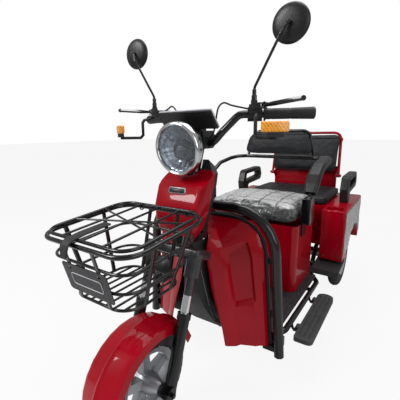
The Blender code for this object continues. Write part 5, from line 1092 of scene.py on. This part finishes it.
def mirrors():
    """Round shell of each mirror head, with silvered glass toward the driver."""
    edge = MIRROR_RADIUS
    rim = edge - 0.0045
    shell = [(0.0, 0.0098), (edge - 0.0035, 0.0098), (edge - 0.0010, 0.0095), (edge, 0.0078),
             (edge, 0.0060), (edge * 0.975, 0.0028), (edge * 0.90, -0.0015),
             (edge * 0.70, -0.0052), (edge * 0.45, -0.0075), (0.0, -0.0080)]
    glass = [(0.0, 0.0100), (rim, 0.0100), (rim, 0.0104), (rim - 0.0012, 0.0110), (0.0, 0.0117)]
    for word, side in SIDES:
        centre = Vector((MIRROR_HEAD.x * side, MIRROR_HEAD.y, MIRROR_HEAD.z))
        place = Matrix.Translation(centre) @ frame_of(Y)
        body = "mirror_" + word
        item = turned("mirror_shell_" + word, shell, place, 72, PLASTIC, body,
                      50.0)
        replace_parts(item, "mirror_head_" + word)
        turned("mirror_glass_" + word, glass, place, 48, MIRROR, body)


mirrors()


# Trim, seated on what carries it

def badge():
    """Bare badge plate on the column, with a bright rim."""
    start, direction = photo_line(174.0, 190.0)
    point, normal = hit("head_cover", start, direction)
    normal = Vector((0.0, normal.y, normal.z)).normalized()
    point = Vector((0.0, point.y, point.z))
    turn = frame_of(normal).to_3x3()
    slab("badge_rim", point + normal * 0.0004, turn, (0.034, 0.0105, 0.0016), 0.0009, 0.006,
         BRIGHT, "chassis")
    slab("badge_plate", point + normal * 0.0010, turn, (0.0305, 0.0075, 0.0016), 0.0006, 0.004,
         PLASTIC, "chassis")


badge()


def plate_line():
    """Pale raised line just inside the edge of the bare number plate."""
    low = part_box("number_plate")[0]
    corners = []
    for x, z in ((0.056, 0.599), (-0.056, 0.599), (-0.056, 0.566), (0.056, 0.566)):
        point, normal = hit("number_plate", (x, low.y - 0.1, z), Y)
        corners.append(point + normal * 0.0004)
    shape = bmesh.new()
    add_tube(shape, rounded(corners, 0.008, 5), 0.0011, closed=True)
    piece("plate_line", shape, PALE, "steering")


plate_line()


def side_film():
    """Loose clear film left on the outer face of each side box."""
    columns, rows = 64, 40
    for word, side in SIDES:
        shape = bmesh.new()
        grid = []
        for j in range(rows + 1):
            line = []
            for i in range(columns + 1):
                y = 0.352 + 0.488 * i / columns
                z = 0.300 + 0.222 * j / rows
                point, _ = hit("side_box_" + word, (0.5 * side, y, z), (-side, 0.0, 0.0))
                if point is None or abs(point.x) < SIDE_OUT - 0.003:
                    line.append(None)
                    continue
                p = Vector((0.0, y, z))
                big = 1.0 - abs(noise.noise(p * 15.0 + Vector((side * 3.0, 0.0, 0.0))))
                small = 1.0 - abs(noise.noise(p * 48.0))
                lift = 0.0008 + 0.0036 * big ** 3 + 0.0014 * small ** 3
                border = min(i, columns - i, j, rows - j)
                lift *= 0.35 if border == 0 else 1.0
                line.append(shape.verts.new((point.x + side * lift, y, z)))
            grid.append(line)
        for j in range(rows):
            for i in range(columns):
                square = (*grid[j][i:i + 2], *grid[j + 1][i:i + 2][::-1])
                if None not in square:
                    shape.faces.new(square)
        item = piece("side_film_" + word, shape, BOX_FILM, "chassis")
        modifier(item, "SOLIDIFY", thickness=0.0003)


side_film()


def prow_line():
    """Orange sleeve that runs down each side of the wheel house."""
    route = []
    for px, py in ((199.0, 262.0), (201.0, 272.0), (203.5, 282.0), (206.0, 293.0),
                   (208.5, 303.0), (211.5, 312.0), (215.0, 319.5)):
        point, normal = hit("inner_shield", *photo_line(px, py))
        if point is not None:
            route.append(point + normal * 0.0012)
    for word, side in SIDES:
        points = [Vector((p.x * side, p.y, p.z)) for p in route]
        smooth = [a.lerp(b, k / 4) for a, b in zip(points, points[1:]) for k in range(4)]
        shape = bmesh.new()
        add_tube(shape, smooth + [points[-1]], 0.0022)
        piece("prow_sleeve_" + word, shape, ORANGE, "chassis")


prow_line()


def bolts():
    """Screw heads, each seated where a line meets the piece that carries it."""
    chassis = [("floor_deck", (x, y, 0.5), (0, 0, -1)) for x in (-0.2555, 0.2555)
               for y in (-0.235, -0.120, 0.0)]
    chassis += [("side_box_" + word, (0.318 * side + 0.040 * way, 0.1, 0.285), Y)
                for word, side in SIDES for way in (-1, 1)]
    steering = [("number_plate", (x, -1.3, 0.636), (0, 1, 0.05)) for x in (-0.055, 0.055)]
    steering += [("fork_crown", (FORK_HALF * way, -0.95, 0.455), Y) for way in (-1, 1)]
    steering += [("headlight_ring", LAMP_CENTRE + Vector((0.3 * way, 0.012, 0.0)), (-way, 0, 0))
                 for way in (-1, 1)]
    for body, radius, spots in (("chassis", 0.0052, chassis), ("steering", 0.0042, steering)):
        shape = bmesh.new()
        for node, start, direction in spots:
            point, normal = hit(node, start, direction)
            if point is not None:
                add_bolt(shape, point, normal, radius)
        piece("screws_" + body, shape, SCREW, body)


bolts()


# Floor and light

def mixed(tree, share, a, b, output):
    """Send two shaders, mixed by a share, to an output node."""
    mix = tree.nodes.new("ShaderNodeMixShader")
    for socket, value in zip(mix.inputs, (share, a.outputs[0], b.outputs[0])):
        tree.links.new(value, socket)
    tree.links.new(mix.outputs[0], tree.nodes[output].inputs[0])


def floor():
    """Pale floor that keeps the shadow, and looks almost white to the camera."""
    reach, level = 30.0, -0.001
    mesh = bpy.data.meshes.new("floor")
    mesh.from_pydata([(x * reach, y * reach, level) for x, y in
                      ((-1, -1), (1, -1), (1, 1), (-1, 1))], [], [(0, 1, 2, 3)])
    look = Look("floor", Roughness=0.85, Specular_IOR_Level=0.2)
    look.link(look.colours(look.clouds(3.0, 4.0), (0.56, 0.56, 0.56), (0.60, 0.60, 0.60)),
              "Base Color")
    share = look.sums("MULTIPLY", look.add("LightPath").outputs["Is Camera Ray"], 0.90)
    mixed(look.tree, share, look.shader, look.add("Emission"), "Material Output")
    mesh.materials.append(look.done())
    placed("floor", mesh)


def studio():
    """Soft white light all round, and a white background to the camera and through glass."""
    world = bpy.data.worlds.new("studio")
    world.use_nodes = True
    tree = world.node_tree
    light = tree.nodes["Background"]
    white = tree.nodes.new("ShaderNodeBackground")
    for node, strength in ((light, 0.36), (white, 1.0)):
        node.inputs[0].default_value = (1.0, 1.0, 1.0, 1.0)
        node.inputs[1].default_value = strength
    path = tree.nodes.new("ShaderNodeLightPath")
    seen = tree.nodes.new("ShaderNodeMath")
    seen.operation = "MAXIMUM"
    for key, socket in zip(("Is Camera Ray", "Is Transmission Ray"), seen.inputs):
        tree.links.new(path.outputs[key], socket)
    mixed(tree, seen.outputs[0], light, white, "World Output")
    bpy.context.scene.world = world


def lamps():
    """Three soft area lamps, each aimed at a point."""
    for name, place, aim, size, power in (
            ("key", (-1.6, -2.6, 2.9), (0.0, -0.2, 0.5), 1.3, 92.0),
            ("fill", (3.2, -1.4, 1.9), (0.0, 0.0, 0.5), 2.2, 34.0),
            ("top", (0.3, 0.6, 3.6), (0.0, 0.0, 0.5), 2.4, 56.0)):
        data = bpy.data.lights.new(name, "AREA")
        data.size = size
        data.energy = power
        item = placed(name, data)
        item.rotation_mode = "QUATERNION"
        item.rotation_quaternion = (Vector(aim) - Vector(place)).to_track_quat("-Z", "Y")
        item.location = place


floor()
studio()
lamps()
bpy.context.scene.view_settings.view_transform = "Standard"
